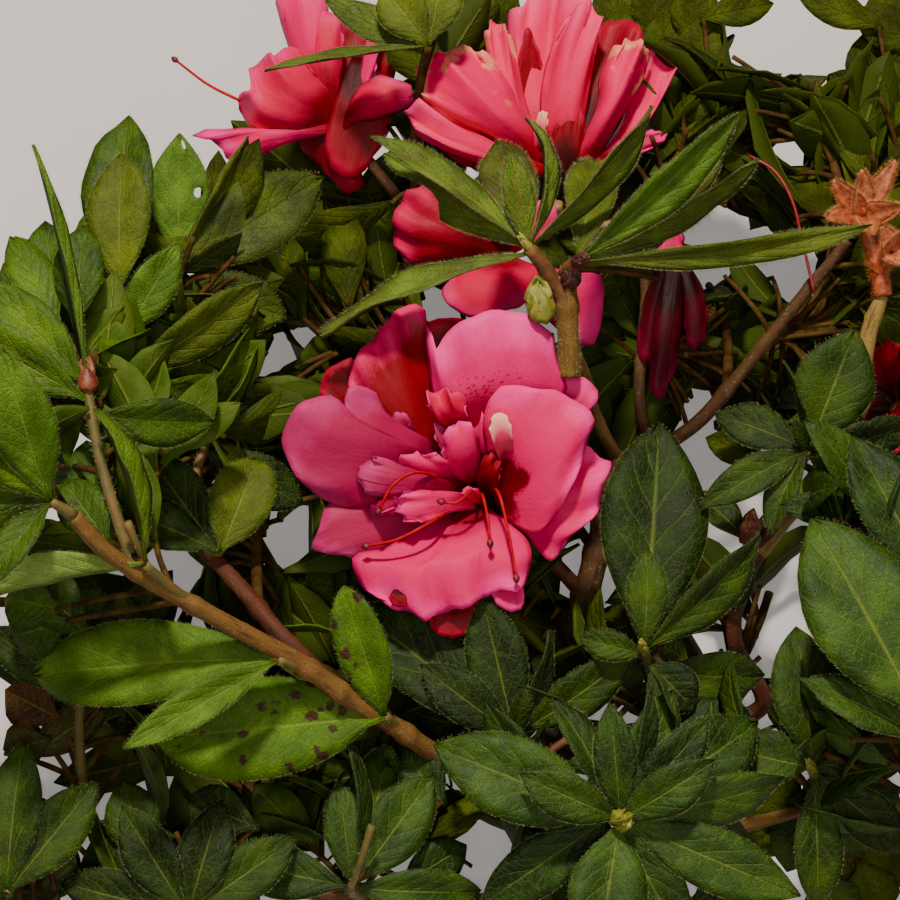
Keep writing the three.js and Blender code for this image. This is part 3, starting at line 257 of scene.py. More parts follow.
# Petals that show, hung between margins as the frame shows them: the colour, one side from
# claw to rim, the rim, the other side, the nearness at the claw and at the rim's start,
# middle and end, the bulge and the ruffle. Places on a margin follow each other in steps
# right and down from the frame's top left corner.
TRACED_PETALS = {
    "bloom_front": [
        ["red", [400, 430, 340, 415, 319, 398], [322, 378, 331, 366], [405, 425, 370, 380, 350, 358],
         [-17, -14, -14, -14], 1, 0.6],
        ["red", [440, 410, 424, 350, 424, 322], [440, 318, 462, 318], [470, 400, 478, 340, 478, 322],
         [-16, -12, -13, -13], 1, 0.5],
        ["pink", [520, 430, 560, 395, 557, 379], [575, 376, 593, 383, 599, 398],
         [525, 440, 575, 425, 589, 413], [-16, -11, -11, -12], 1, 0.6],
        # The upper left petal, dark crimson in a painted shadow of the leaves above it
        ["shaded", [452, 478, 408, 450, 370, 426, 350, 398],
         [350, 372, 361, 350, 375, 336, 380, 330, 391, 315, 403, 306, 415, 305],
         [460, 474, 440, 415, 431, 360, 425, 309], [-17, -9, -8, -12], 2.4, 1],
        ["pink", [505, 468, 555, 447, 583, 444],
         [600, 455, 610, 463, 604, 485, 599, 500, 598, 517, 581, 524],
         [500, 512, 528, 536, 540, 552, 552, 561, 566, 543], [-16, -9, -7, -8], 2, 1.2],
        ["mauve", [445, 530, 405, 541, 380, 552, 350, 557], [330, 554, 311, 549, 316, 534],
         [442, 506, 400, 500, 360, 502, 328, 502, 322, 518], [-14, -7, -6, -7], 1, 0.5],
        # A dark red piece under the bottom petal's curled tip: painted shade of the fold
        ["red", [438, 590, 430, 606], [431, 630, 450, 638, 470, 633], [470, 590, 478, 606],
         [-8, -5, -4, -5], 0.6, 0.6],
        ["pink", [492, 560, 488, 590], [497, 604, 514, 613, 524, 606], [510, 560, 523, 586],
         [-8, -3, -3, -4], 0.6, 0.6],
        ["pink", [486, 506, 512, 526, 529, 543, 532, 562, 527, 584],
         [512, 592, 497, 592, 483, 598, 470, 606, 454, 611, 438, 613, 430, 623, 420, 617, 406, 613,
          394, 607], [466, 510, 425, 525, 385, 548, 352, 557, 354, 574, 363, 591, 380, 601],
         [-15, -3, 0, -4], 2.2, 1.5],
        ["red", [394, 590, 389, 598], [394, 606, 404, 607], [406, 591, 412, 596], [-1, -0.6, 0.2, -0.6],
         0.4, 0.3],
        ["mauve", [440, 494, 405, 497, 378, 503, 350, 508, 331, 502],
         [310, 490, 293, 473, 284, 451, 283, 433, 290, 414, 303, 401, 322, 396, 335, 398, 343, 407,
          346, 391, 361, 386], [446, 450, 412, 430, 386, 412, 375, 391], [-14, -6, -2, -6], 2.4, 1],
        ["blotch", [464, 470, 446, 425, 433, 395, 427, 352, 426, 324],
         [431, 333, 437, 350, 446, 333, 462, 321, 485, 312, 508, 310, 530, 316, 546, 328],
         [484, 470, 520, 420, 566, 394, 557, 362, 553, 337], [-16, -6, -3, -7], 2.4, 0.8],
        # The right petal, with a painted shadow of a petaloid near its claw
        ["deep_pink", [484, 482, 487, 452, 483, 425, 489, 400, 501, 385],
         [530, 387, 560, 392, 582, 405, 595, 421, 589, 436, 582, 458, 577, 480],
         [494, 500, 512, 524, 536, 534, 552, 520, 563, 500], [-15, -3, -1, -3], 2.6, 0.8],
        ["salmon", [462, 436, 438, 421, 428, 408], [426, 394, 441, 390, 457, 393, 465, 401],
         [472, 434, 468, 415], [-12, -3, -1, -3], 1.6, 2],
        ["pink", [468, 486, 450, 470, 443, 450], [446, 431, 458, 421, 471, 424],
         [478, 484, 480, 455, 478, 434], [-14, -5, -2, -5], 1.8, 2],
        ["pink", [460, 486, 425, 480, 405, 470], [396, 460, 411, 453, 428, 454],
         [466, 476, 452, 462, 440, 455], [-14, -5, -3, -5], 1.4, 2],
        ["mauve", [462, 498, 425, 497, 392, 502, 371, 500], [361, 485, 357, 471, 365, 461],
         [466, 484, 440, 474, 412, 468, 384, 457], [-13, -3, -1, -3], 2, 2],
        ["pink", [480, 510, 452, 512, 428, 523, 410, 523], [397, 513, 395, 498],
         [476, 494, 440, 491, 410, 490], [-13, -2, -1, -2], 1.6, 1.8],
        ["cream", [500, 464, 494, 444, 490, 428], [493, 415, 504, 413], [510, 458, 513, 444, 511, 425],
         [-7, 2, 0.5, 1], 1.4, 0.4],
        ["red", [478, 500, 478, 470, 485, 455], [494, 454, 500, 463], [486, 502, 497, 488, 501, 474],
         [-15, -3, -2, -3], 1.6, 1.4],
        ["mauve", [470, 480, 446, 455, 436, 436], [433, 425, 444, 424], [474, 478, 458, 446],
         [-15, -7, -6, -7], 1, 1.8],
        ["deep_pink", [472, 500, 430, 492, 398, 492, 380, 500], [370, 508, 376, 516, 390, 512],
         [472, 508, 430, 506, 404, 508], [-14, -5, -3, -5], 1, 2.2],
        ["pink", [480, 470, 470, 430, 466, 412], [474, 402, 486, 412], [486, 470, 490, 430],
         [-15, -8, -7, -8], 1, 1.6],
        ["salmon", [482, 505, 470, 500, 462, 497], [462, 490, 470, 487], [484, 500, 478, 490],
         [-8, -2, -1, -2], 0.6, 1],
        ["mauve", [420, 446, 402, 430, 394, 424], [393, 414, 405, 412], [424, 440, 408, 424],
         [-15, -8, -7, -8], 0.8, 0.6],
    ],
    "bloom_top": [
        ["red", [545, 172, 560, 110, 575, 60, 584, 40], [600, 24, 622, 19, 640, 24],
         [585, 165, 622, 110, 646, 56], [-42, -50, -50, -50], 2, 0.8],
        ["coral", [590, 168, 622, 122, 632, 85, 636, 48], [648, 45, 660, 54, 677, 62, 674, 71, 664, 78],
         [605, 170, 640, 138, 654, 108], [-42, -50, -48, -50], 2, 2],
        ["pink", [590, 165, 628, 158, 646, 150], [661, 143, 668, 134], [600, 150, 625, 132, 648, 129],
         [-42, -46, -46, -46], 1, 0.6],
        ["coral", [530, 165, 512, 110, 506, 60, 508, 28], [514, 10, 532, -6, 560, -14, 590, -8],
         [570, 165, 582, 90, 596, 24], [-42, -53, -51, -52], 2, 2.2],
        # A dark red strip: painted shade on the inside of a petal
        ["red", [530, 168, 512, 128, 514, 84, 521, 48], [528, 26, 534, 38], [566, 168, 556, 110, 545, 70],
         [-42, -47, -47, -47], -2, 0.4],
        ["coral", [545, 165, 541, 96, 552, 48, 568, 16], [580, 4, 592, 5, 601, 17],
         [578, 160, 588, 96, 594, 54, 596, 34], [-42, -45, -41, -44], 3, 1.8],
        ["spent", [532, 165, 502, 122, 490, 76, 487, 42], [488, 24, 494, 20, 503, 25],
         [548, 160, 526, 104, 520, 76, 512, 40], [-42, -44, -41, -44], 2, 1.6],
        ["spent", [540, 168, 500, 142, 462, 126, 436, 111],
         [421, 98, 415, 82, 420, 64, 438, 52, 462, 47, 484, 51], [550, 155, 526, 116, 514, 84, 500, 62],
         [-42, -42, -36, -42], 5, 2.4],
        ["red", [545, 178, 490, 172, 458, 162], [434, 142, 424, 128], [545, 165, 500, 146, 460, 128],
         [-42, -41, -41, -41], 1, 0.6],
        ["coral", [545, 176, 500, 168, 464, 158, 436, 142], [416, 130, 407, 113, 412, 101],
         [548, 166, 500, 144, 462, 124, 436, 106], [-42, -38, -35, -38], 3, 2.2],
        ["spent", [566, 168, 598, 104, 600, 76, 612, 52], [624, 40, 640, 40, 647, 46],
         [592, 165, 628, 104, 643, 78, 648, 60], [-42, -43, -39, -43], 4, 1.6],
        ["red", [550, 176, 550, 145, 558, 118], [568, 106, 580, 106], [582, 176, 584, 140, 586, 122],
         [-42, -40, -40, -40], 1, 0.5],
        ["cream", [536, 150, 534, 130, 538, 116], [542, 110, 547, 112], [542, 150, 546, 132, 548, 118],
         [-40, -37, -37, -37], 0.6, 0.3],
    ],
    "bloom_left": [
        ["red", [330, 115, 336, 60, 336, 14], [352, 6, 374, 8, 390, 20], [350, 125, 388, 90, 398, 56],
         [-59, -66, -66, -66], 2, 1.9],
        ["red", [325, 100, 298, 140, 312, 160, 338, 186], [352, 196, 362, 180, 370, 150],
         [350, 90, 390, 104, 382, 132], [-59, -64, -62, -64], 2, 2.3],
        ["pink", [320, 110, 300, 75, 284, 30, 277, 0], [278, -16, 295, -26, 316, -20],
         [335, 100, 330, 50, 330, 5], [-59, -62, -58, -61], 3, 1.9],
        ["salmon", [325, 110, 308, 70, 314, 32], [322, 12, 338, 14], [337, 105, 342, 62, 343, 34],
         [-59, -58, -56, -58], 2, 1.5],
        ["salmon", [330, 122, 284, 136, 254, 128, 240, 106], [247, 82, 257, 60, 274, 52, 296, 50],
         [336, 100, 318, 76, 306, 62], [-59, -56, -52, -56], 3, 2.7],
        ["pink", [335, 132, 292, 141, 266, 152, 240, 173], [227, 156, 212, 141, 193, 134],
         [332, 122, 282, 127, 240, 128, 214, 129], [-59, -56, -54, -57], 1, 1.5],
        ["pink", [352, 112, 362, 60, 367, 17], [373, 13, 380, 16], [360, 112, 376, 66],
         [-59, -60, -59, -60], 1, 0.8],
        # A dark red petal across the open throat: painted shade deep in the throat
        ["red", [352, 56, 334, 96, 324, 138], [330, 166, 350, 180, 370, 162],
         [368, 56, 392, 92, 388, 132], [-61, -58, -57, -58], 1, 0.8],
        ["salmon", [336, 142, 350, 124, 374, 120, 402, 112], [415, 100, 410, 87, 396, 77],
         [342, 116, 360, 86, 380, 76], [-59, -56, -53, -56], 3, 1.5],
    ],
    "bloom_behind": [
        ["scarlet", [500, 262, 452, 258, 416, 264, 400, 256], [393, 235, 396, 210, 408, 191, 430, 183],
         [506, 246, 482, 226, 456, 192], [-47, -48, -44, -48], 3, 1.2],
        ["scarlet", [498, 252, 462, 224, 436, 192], [455, 178, 482, 188, 510, 198, 530, 203],
         [512, 252, 536, 242, 546, 226], [-47, -44, -42, -44], 2, 1],
        ["pink", [512, 262, 556, 270, 578, 272], [600, 272, 603, 310, 596, 340],
         [506, 272, 550, 322, 582, 348], [-47, -50, -50, -50], 2, 1],
        ["salmon", [500, 258, 468, 266, 449, 280], [442, 295, 452, 308, 476, 317, 502, 312, 532, 299],
         [518, 258, 542, 270, 547, 284], [-47, -44, -38, -43], 3, 0.8],
        ["pink", [504, 252, 528, 216, 538, 200], [552, 198, 558, 214], [516, 252, 548, 236],
         [-47, -40, -40, -40], 1, 0.6],
    ],
    "bloom_faded": [
        ["maroon", [668, 262, 656, 310, 652, 350], [650, 385, 660, 402], [682, 262, 684, 310, 678, 360],
         [-47, -44, -42, -44], 2, 1],
        ["maroon", [676, 262, 682, 300, 686, 330], [692, 350, 704, 342], [688, 262, 704, 290, 709, 316],
         [-47, -48, -46, -48], 2, 1],
        ["maroon", [664, 262, 648, 290, 638, 330], [640, 360, 652, 366], [676, 262, 668, 310, 662, 345],
         [-47, -52, -50, -52], 2, 1],
        ["pink", [664, 262, 644, 240, 640, 222], [656, 214, 676, 215], [682, 262, 684, 238],
         [-47, -50, -50, -50], 1, 0.8],
    ],
}

# Open views between the leaves, on the face as seen: [across, up, half width, half height]
OPEN_VIEWS = [
    [-84, 80, 26, 24], [-60, 86, 18, 14], [74, 86, 13, 4.5], [55, 90, 2, 2], [73, 64, 2.5, 2.5],
    [51, 49, 3, 3], [60, 48.5, 5, 2.5], [55, 37, 4, 2], [75, 37, 3.5, 4], [69, 43, 2, 2],
    [86, 24, 2.5, 1.5], [-3, 31, 2.5, 3.5], [-38.7, 18.7, 1.5, 1.5], [-35.3, 21.5, 1.6, 1.6],
    [-31.8, 24.5, 1.6, 1.6], [-52, 41, 2, 2.5], [-49, -9, 2, 2], [-34, -19, 3.5, 5],
    [-56, -27, 2.5, 1.5], [-54, -38, 1.5, 3], [-42, -46, 2, 1.5], [54, 8, 3, 3],
    [58, -7, 2, 4], [63, -13, 3.5, 3], [71, -38, 4.5, 10], [58, -41, 2, 2], [29, -24, 5, 3],
    [9, -87, 4, 5], [27, -69, 3, 4], [70, -85, 3, 4], [-94, -56, 2, 5], [-90, -68, 2, 2], [-22, 65, 6, 6],
    [-15, 86, 6, 4], [31, 85, 7, 6], [-54.6, 55.5, 3, 3], [-57, 67, 3, 3], [77, -28, 2.5, 5],
]

# Blooms in sight, in the same measures, and how near leaves by rule may come before each
BLOOM_VIEWS = [[(x - FRAME_HALF) * FRAME_STEP, (FRAME_HALF - y) * FRAME_STEP,
                half_width * FRAME_STEP, half_height * FRAME_STEP]
               for x, y, half_width, half_height in [
                   (445, 470, 162, 165), (545, 95, 140, 112), (305, 92, 108, 100), (490, 250, 96, 62)]]
BLOOM_NEARNESS = [-12, -49, -60, -47]


def spot(place):
    """A place on the face, as a point above the ground."""
    across, up, near = place
    return FACE_MIDDLE + across * ACROSS + up * UP + near * NEAR


def traced(x, y, near):
    """Places in the frame as seen, in steps right and down, at their nearness."""
    step = FRAME_STEP * (CAMERA_REACH - near) / CAMERA_REACH
    across, up = (x - FRAME_HALF) * step, (FRAME_HALF - y) * step
    return FACE_MIDDLE + np.multiply.outer(across, ACROSS) + np.multiply.outer(up, UP) \
        + np.multiply.outer(near, NEAR)


def heading(clock, forward):
    """A direction read like a clock's hand on the face, in degrees, leaning forward out of it."""
    flat = cos(radians(forward))
    return (flat * sin(radians(clock)) * ACROSS + flat * cos(radians(clock)) * UP
            + sin(radians(forward)) * NEAR)


def unit(vector):
    return vector / np.linalg.norm(vector)


def units(vectors, least=0):
    """Vectors in rows, each brought to a length of one, with a least length to divide by."""
    return vectors / (np.linalg.norm(vectors, axis=-1, keepdims=True) + least)


def leant(axis, out, angle):
    """A direction that leans out from an axis, by degrees."""
    return axis * cos(radians(angle)) + out * sin(radians(angle))


def turned(vector, axis, angle):
    """A vector turned about an axis, by degrees."""
    c, s = cos(radians(angle)), sin(radians(angle))
    return vector * c + np.cross(axis, vector) * s + axis * np.dot(axis, vector) * (1 - c)


def square_to(axis, direction, turn=0):
    """The part of a direction that is square to an axis, turned about that axis."""
    return turned(unit(direction - axis * np.dot(direction, axis)), axis, turn)


def seen_at(point):
    """Where the camera sees a point, as [across, up] on the face."""
    away = point - FACE_MIDDLE
    scale = CAMERA_REACH / (CAMERA_REACH - away @ NEAR)
    return away @ ACROSS * scale, away @ UP * scale


class Dice:
    """The seeded dice of the solids' source."""

    def __init__(self, seed):
        self.state = seed * DICE_SPREAD

    def roll(self, low, high):
        self.state = (self.state * DICE_FACTOR) % DICE_RANGE
        return low + (high - low) * self.state / DICE_RANGE


class Line:
    """A smooth line through dense points, read by the share of its length."""

    def __init__(self, points):
        self.points = np.array(points, dtype=float)
        steps = np.linalg.norm(np.diff(self.points, axis=0), axis=1)
        self.marks = np.concatenate([[0], np.cumsum(steps)])
        self.length = self.marks[-1]

    def at(self, along):
        mark = np.clip(along, 0, 1) * self.length
        return np.stack([np.interp(mark, self.marks, self.points[:, i]) for i in range(3)], axis=-1)

    def lie(self, along):
        ahead = self.at(min(1, along + 0.01)) - self.at(max(0, along - 0.01))
        return unit(ahead)


NO_LENGTH = 1e-6


def curve_through(places, fine=24):
    """A centripetal Catmull-Rom line through places."""
    places = [np.array(p, dtype=float) for p in places]
    ends = [2 * places[0] - places[1], *places, 2 * places[-1] - places[-2]]
    points = []
    for before, start, end, after in zip(ends, ends[1:], ends[2:], ends[3:]):
        gaps = [max(np.linalg.norm(b - a), NO_LENGTH) ** 0.5
                for a, b in ((before, start), (start, end), (end, after))]
        leave = ((start - before) / gaps[0] - (end - before) / (gaps[0] + gaps[1])
                 + (end - start) / gaps[1]) * gaps[1]
        arrive = ((end - start) / gaps[1] - (after - start) / (gaps[1] + gaps[2])
                  + (after - end) / gaps[2]) * gaps[1]
        for t in np.linspace(0, 1, fine, endpoint=False):
            points.append(start + leave * t + (-3 * start + 3 * end - 2 * leave - arrive) * t ** 2
                          + (2 * start - 2 * end + leave + arrive) * t ** 3)
    return Line([*points, places[-1]])


def bow(foot, bend, end, fine=24):
    """A line that bows from foot to end towards a bend."""
    t = np.linspace(0, 1, fine + 1)[:, None]
    return Line((1 - t) ** 2 * foot + 2 * t * (1 - t) * bend + t ** 2 * end)


class Pile:
    """Points, faces and pattern places of many small things that become one piece."""

    def __init__(self):
        self.points = []
        self.corners = []
        self.sizes = []
        self.places = []
        self.finishes = []
        self.count = 0

    def add(self, points, faces, places, finish=0):
        """Adds points, faces of one corner count, and each point's pattern place."""
        self.add_faces(faces, places[faces.ravel()], finish)
        self.add_points(points)

    def add_faces(self, faces, places, finish):
        """Adds faces on the points that come next, and each corner's pattern place."""
        self.corners.append((faces + self.count).ravel())
        self.sizes.append(np.full(len(faces), faces.shape[1]))
        self.places.append(places)
        self.finishes.append(np.broadcast_to(finish, len(faces)))

    def add_points(self, points):
        self.points.append(points)
        self.count += len(points)

    def piece(self, name, finishes, slot, nodes=()):
        """Makes the piece, gives it its finishes and says which nodes it stands for."""
        mesh = bpy.data.meshes.new(name)
        points = np.concatenate(self.points) * MM
        corners = np.concatenate(self.corners)
        sizes = np.concatenate(self.sizes)
        mesh.vertices.add(len(points))
        mesh.vertices.foreach_set("co", points.ravel())
        mesh.loops.add(len(corners))
        mesh.loops.foreach_set("vertex_index", corners.astype(np.int32))
        mesh.polygons.add(len(sizes))
        starts = np.concatenate([[0], np.cumsum(sizes)[:-1]])
        mesh.polygons.foreach_set("loop_start", starts.astype(np.int32))
        mesh.polygons.foreach_set("material_index", np.concatenate(self.finishes).astype(np.int32))
        mesh.polygons.foreach_set("use_smooth", np.ones(len(sizes), dtype=bool))
        mesh.update(calc_edges=True)
        layer = mesh.uv_layers.new(name="pattern")
        layer.data.foreach_set("uv", np.concatenate(self.places).ravel())
        for finish in finishes:
            mesh.materials.append(finish)
        settle(placed(name, mesh), nodes)


def placed(name, data):
    """Puts a mesh, light or camera in the scene as an object."""
    thing = bpy.data.objects.new(name, data)
    bpy.context.scene.collection.objects.link(thing)
    return thing


def settle(piece, nodes):
    """Rides a finished piece on the bough, in place of its solids."""
    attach(piece, "root")
    if nodes:
        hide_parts(*nodes)


def clear_selection():
    bpy.ops.object.select_all(action="DESELECT")


HOLE_ROUNDING = 0.3
SKIN_GAP = 0.01
NO_WIDTH = 1e-9


class Sheet:
    """A flat closed leaf or petal, modelled one long and one wide, to bend and copy."""

    def __init__(self, outline, rows, columns, roundness=0, holes=()):
        marks = np.linspace(0, 1, rows + 1)
        keys = np.array(outline)
        self.rows, self.columns = rows + 1, columns + 1
        halves = np.interp(marks, keys[:, 0], keys[:, 1])
        around = np.array([[-1, -1], [-1, 0], [0, -1], [0, 0]])
        cut = [int(row * columns + column) for hole in holes for row, column in hole + around]
        sheet = self.modelled(marks, halves, cut)
        corners = np.array([polygon.vertices[:] for polygon in sheet.data.polygons])
        heights = np.array([vert.co.z for vert in sheet.data.vertices])
        bpy.data.objects.remove(sheet)
        layer = np.arange(self.rows * self.columns)
        self.across = np.tile(2 * (layer % self.columns) / columns - 1, 2)
        row = np.tile(layer // self.columns, 2)
        self.along = marks[row] * (1 - roundness * self.across ** 2 * marks[row] ** 2)
        self.half = halves[row]
        self.draw_in(holes, rows, columns)
        self.lift = np.sign(heights)
        self.faces = corners
        self.under = self.lift[corners].sum(axis=1) < -2
        self.places = np.stack([0.5 + 0.5 * self.across, marks[row]], axis=1)

    def draw_in(self, holes, rows, columns):
        """Draws the corners of each hole in, so that it looks round."""
        count = self.rows * self.columns
        for hole_row, hole_column in holes:
            for down in (-1, 1):
                for aside in (-1, 1):
                    corner = (hole_row + down) * self.columns + hole_column + aside
                    self.along[[corner, corner + count]] -= down * HOLE_ROUNDING / rows
                    self.across[[corner, corner + count]] -= aside * HOLE_ROUNDING * 2 / columns

    def modelled(self, marks, halves, holes):
        """Shapes a grid row by row, cuts its holes and gives it two skins."""
        clear_selection()
        bpy.ops.mesh.primitive_grid_add(
            x_subdivisions=self.columns - 1, y_subdivisions=self.rows - 1, size=1)
        sheet = bpy.context.object
        bpy.ops.object.mode_set(mode="EDIT")
        for row, (mark, half) in enumerate(zip(marks, halves)):
            inside = range(row * self.columns, (row + 1) * self.columns)
            grid = bmesh.from_edit_mesh(sheet.data)
            for vert in grid.verts:
                vert.select = vert.index in inside
            grid.select_flush_mode()
            bmesh.update_edit_mesh(sheet.data)
            flat = row / (self.rows - 1) - 0.5
            bpy.ops.transform.resize(value=(half, 1, 1), center_override=(0, flat, 0))
            bpy.ops.transform.translate(value=(0, mark - flat, 0))
        if holes:
            grid = bmesh.from_edit_mesh(sheet.data)
            for face in grid.faces:
                face.select_set(face.index in holes)
            bmesh.update_edit_mesh(sheet.data)
            bpy.ops.mesh.delete(type="ONLY_FACE")
        bpy.ops.object.mode_set(mode="OBJECT")
        skins = sheet.modifiers.new("skins", "SOLIDIFY")
        skins.thickness = SKIN_GAP
        skins.offset = 0
        bpy.ops.object.modifier_apply(modifier=skins.name)
        return sheet

    def grid(self, points):
        """The upper skin's points, row by row."""
        count = self.rows * self.columns
        upper = points[:count] if self.lift[0] > 0 else points[count:]
        return upper.reshape(self.rows, self.columns, 3)

    def on(self, points, across, along):
        """Places on the bent upper skin, for arrays of across and along."""
        grid = self.grid(points)
        column = (across + 1) / 2 * (self.columns - 1)
        row = along * (self.rows - 1)
        i = np.clip(row.astype(int), 0, self.rows - 2)
        j = np.clip(column.astype(int), 0, self.columns - 2)
        down, side = (row - i)[:, None], (column - j)[:, None]
        return ((1 - down) * ((1 - side) * grid[i, j] + side * grid[i, j + 1])
                + down * ((1 - side) * grid[i + 1, j] + side * grid[i + 1, j + 1]))


# A margin's waves: the shift between both sides, and the waves round the rim
SIDE_SHIFT = 1.3
RIM_WAVE = 0.6
RIM_WAVES = 1.3
RIPPLE_EASE = 0.62
CREASES = 9
BEND_STEPS = 33


def bent(sheet, base, axis, face, length, width, fold=LEAF_FOLD, arch=LEAF_ARCH, curl=0, twist=0,
         camber=0.16, ripple=0, ripples=3, phase=0, crease=0, thickness=LEAF_THICKNESS, bite=None):
    """A sheet bent into a leaf or petal: folded along its middle, arched and curled back from
    its face, twisted, rippled at its margins, and bitten on one side from one place along it
    to another, by a share of its width."""
    side = np.cross(axis, face)
    fine = np.linspace(0, 1, BEND_STEPS)
    bend = radians(arch) * fine + radians(curl) * fine ** 2
    step = length / (len(fine) - 1)
    run = np.concatenate([[0], np.cumsum((np.cos(bend[1:]) + np.cos(bend[:-1])) / 2)]) * step
    drop = np.concatenate([[0], np.cumsum((np.sin(bend[1:]) + np.sin(bend[:-1])) / 2)]) * step
    s, v = sheet.across, sheet.along
    lean = np.interp(v, fine, bend)[:, None]
    normal = np.cos(lean) * face + np.sin(lean) * axis
    spin = radians(twist) * v[:, None] ** 1.5
    out_side = np.cos(spin) * side + np.sin(spin) * normal
    out_face = np.cos(spin) * normal - np.sin(spin) * side
    half = sheet.half * width / 2
    if bite:
        start, end, share, bitten = bite
        inside = np.sin(pi * np.clip((v - start) / (end - start), 0, 1)) ** 0.5
        half = half * (1 - share * inside * (s * bitten > 0))
    wave = (np.sin(2 * pi * ripples * v + phase + SIDE_SHIFT * np.sign(s)) * np.abs(s) ** 2
            + RIM_WAVE * np.sin(RIM_WAVES * ripples * s * pi + 2 * phase) * v ** 3)
    height = (half * (np.abs(s) * sin(radians(fold)) + camber * 2 * (np.abs(s) - s ** 2))
              + ripple * wave * np.sin(pi * np.clip(v, 0, 1) * RIPPLE_EASE)
              + crease * np.sin(CREASES * s + 2 * phase) * np.clip(v, 0, 1) * (1 - 0.5 * v)
              + sheet.lift * thickness / 2)
    return (base + np.interp(v, fine, run)[:, None] * axis - np.interp(v, fine, drop)[:, None] * face
            + (half * s * cos(radians(fold)))[:, None] * out_side + height[:, None] * out_face)


# How fine tubes are: their sides, and the millimetres from ring to ring
LIMB_MESH = (18, 0.8)
STEM_MESH = (8, 1.6)
STALK_MESH = (8, 1.2)
STAMEN_MESH = (6, 1.2)
ANTHER_MESH = (8, 0.3)
SPENT_STALK_MESH = (12, 0.8)
KNOB_MESH = (10, 0.4)
STYLE_MESH = (6, 1.5)


def add_tube(pile, line, radius_at, mesh, relief=None, finish=0):
    """Adds a round tube that closes in a point at each end, with its pattern places round
    it, and along it in centimetres."""
    sides, step = mesh
    count = max(2, round(line.length / step))
    alongs = np.linspace(0, 1, count + 1)
    centres = line.at(alongs)
    lies = units(np.gradient(centres, axis=0))
    normals = []
    normal = np.cross(lies[0], ACROSS + 0.3 * UP)
    for lie in lies:
        normal = unit(normal - lie * np.dot(normal, lie))
        normals.append(normal)
    normals = np.array(normals)
    binormals = np.cross(lies, normals)
    angles = np.arange(sides) / sides * 2 * pi
    radii = np.array([radius_at(along) for along in alongs])[:, None] * np.ones(sides)
    if relief:
        radii = radii * relief(angles[None, :], alongs[:, None] * line.length)
    rings = (centres[:, None] + (radii * np.cos(angles))[..., None] * normals[:, None]
             + (radii * np.sin(angles))[..., None] * binormals[:, None])
    ring, turn = np.meshgrid(np.arange(count), np.arange(sides), indexing="ij")
    a = (ring * sides + turn).ravel()
    b = (ring * sides + (turn + 1) % sides).ravel()
    quads = np.stack([a, b, b + sides, a + sides], axis=1)
    low, high = turn.ravel() / sides, (turn.ravel() + 1) / sides
    near, far = [alongs[ring.ravel() + k] * line.length / 10 for k in (0, 1)]
    places = np.stack([low, near, high, near, high, far, low, far], axis=1).reshape(-1, 2)
    points = np.concatenate([rings.reshape(-1, 3), centres[:1], centres[-1:]])
    around = np.arange(sides)
    ahead = (around + 1) % sides
    last = count * sides
    caps = np.concatenate([
        np.stack([ahead, around, np.full(sides, len(points) - 2)], 1),
        np.stack([last + around, last + ahead, np.full(sides, len(points) - 1)], 1)])
    pile.add_faces(quads, places, finish)
    pile.add_faces(caps, np.zeros((caps.size, 2)), finish)
    pile.add_points(points)


def add_hairs(pile, roots, ways, lengths, thickness, finish=0):
    """Adds three-sided hairs from their roots, as one block of arrays."""
    ways = units(ways)
    first = units(np.cross(ways, UP + 0.37 * ACROSS))
    second = np.cross(ways, first)
    ring = [roots + thickness * (cos(turn) * first + sin(turn) * second)
            for turn in (0, 2 * pi / 3, 4 * pi / 3)]
    points = np.stack([*ring, roots + ways * lengths[:, None]], axis=1).reshape(-1, 3)
    start = np.arange(len(roots))[:, None] * 4
    faces = np.concatenate([start + corners for corners in ([0, 1, 3], [1, 2, 3], [2, 0, 3], [2, 1, 0])])
    pile.add(points, faces, np.zeros((len(points), 2)), finish)


def tint(red, green, blue):
    """A screen colour, 0 to 255, as the linear colour that a shader takes."""
    return (*[(c / 255) ** 2.2 for c in (red, green, blue)], 1)


class Link:
    """A node's output, with sums on it written as plain arithmetic."""

    def __init__(self, finish, socket):
        self.finish = finish
        self.socket = socket

    def sum(self, operation, *values):
        return self.finish.node("ShaderNodeMath", {"operation": operation}, dict(enumerate(values)))

    def __add__(self, other):
        return self.sum("ADD", self, other)

    def __sub__(self, other):
        return self.sum("SUBTRACT", self, other)

    def __mul__(self, other):
        return self.sum("MULTIPLY", self, other)

    def __rsub__(self, other):
        return self.sum("SUBTRACT", other, self)

    __radd__ = __add__
    __rmul__ = __mul__

    def size(self):
        return self.sum("ABSOLUTE", self)

    def repeat(self):
        return self.sum("FRACT", self)

    def between(self, low, high):
        """0 below low, 1 above high, and a smooth rise between them."""
        return self.finish.node(
            "ShaderNodeMapRange", {"interpolation_type": "SMOOTHSTEP"}, {0: self, 1: low, 2: high})


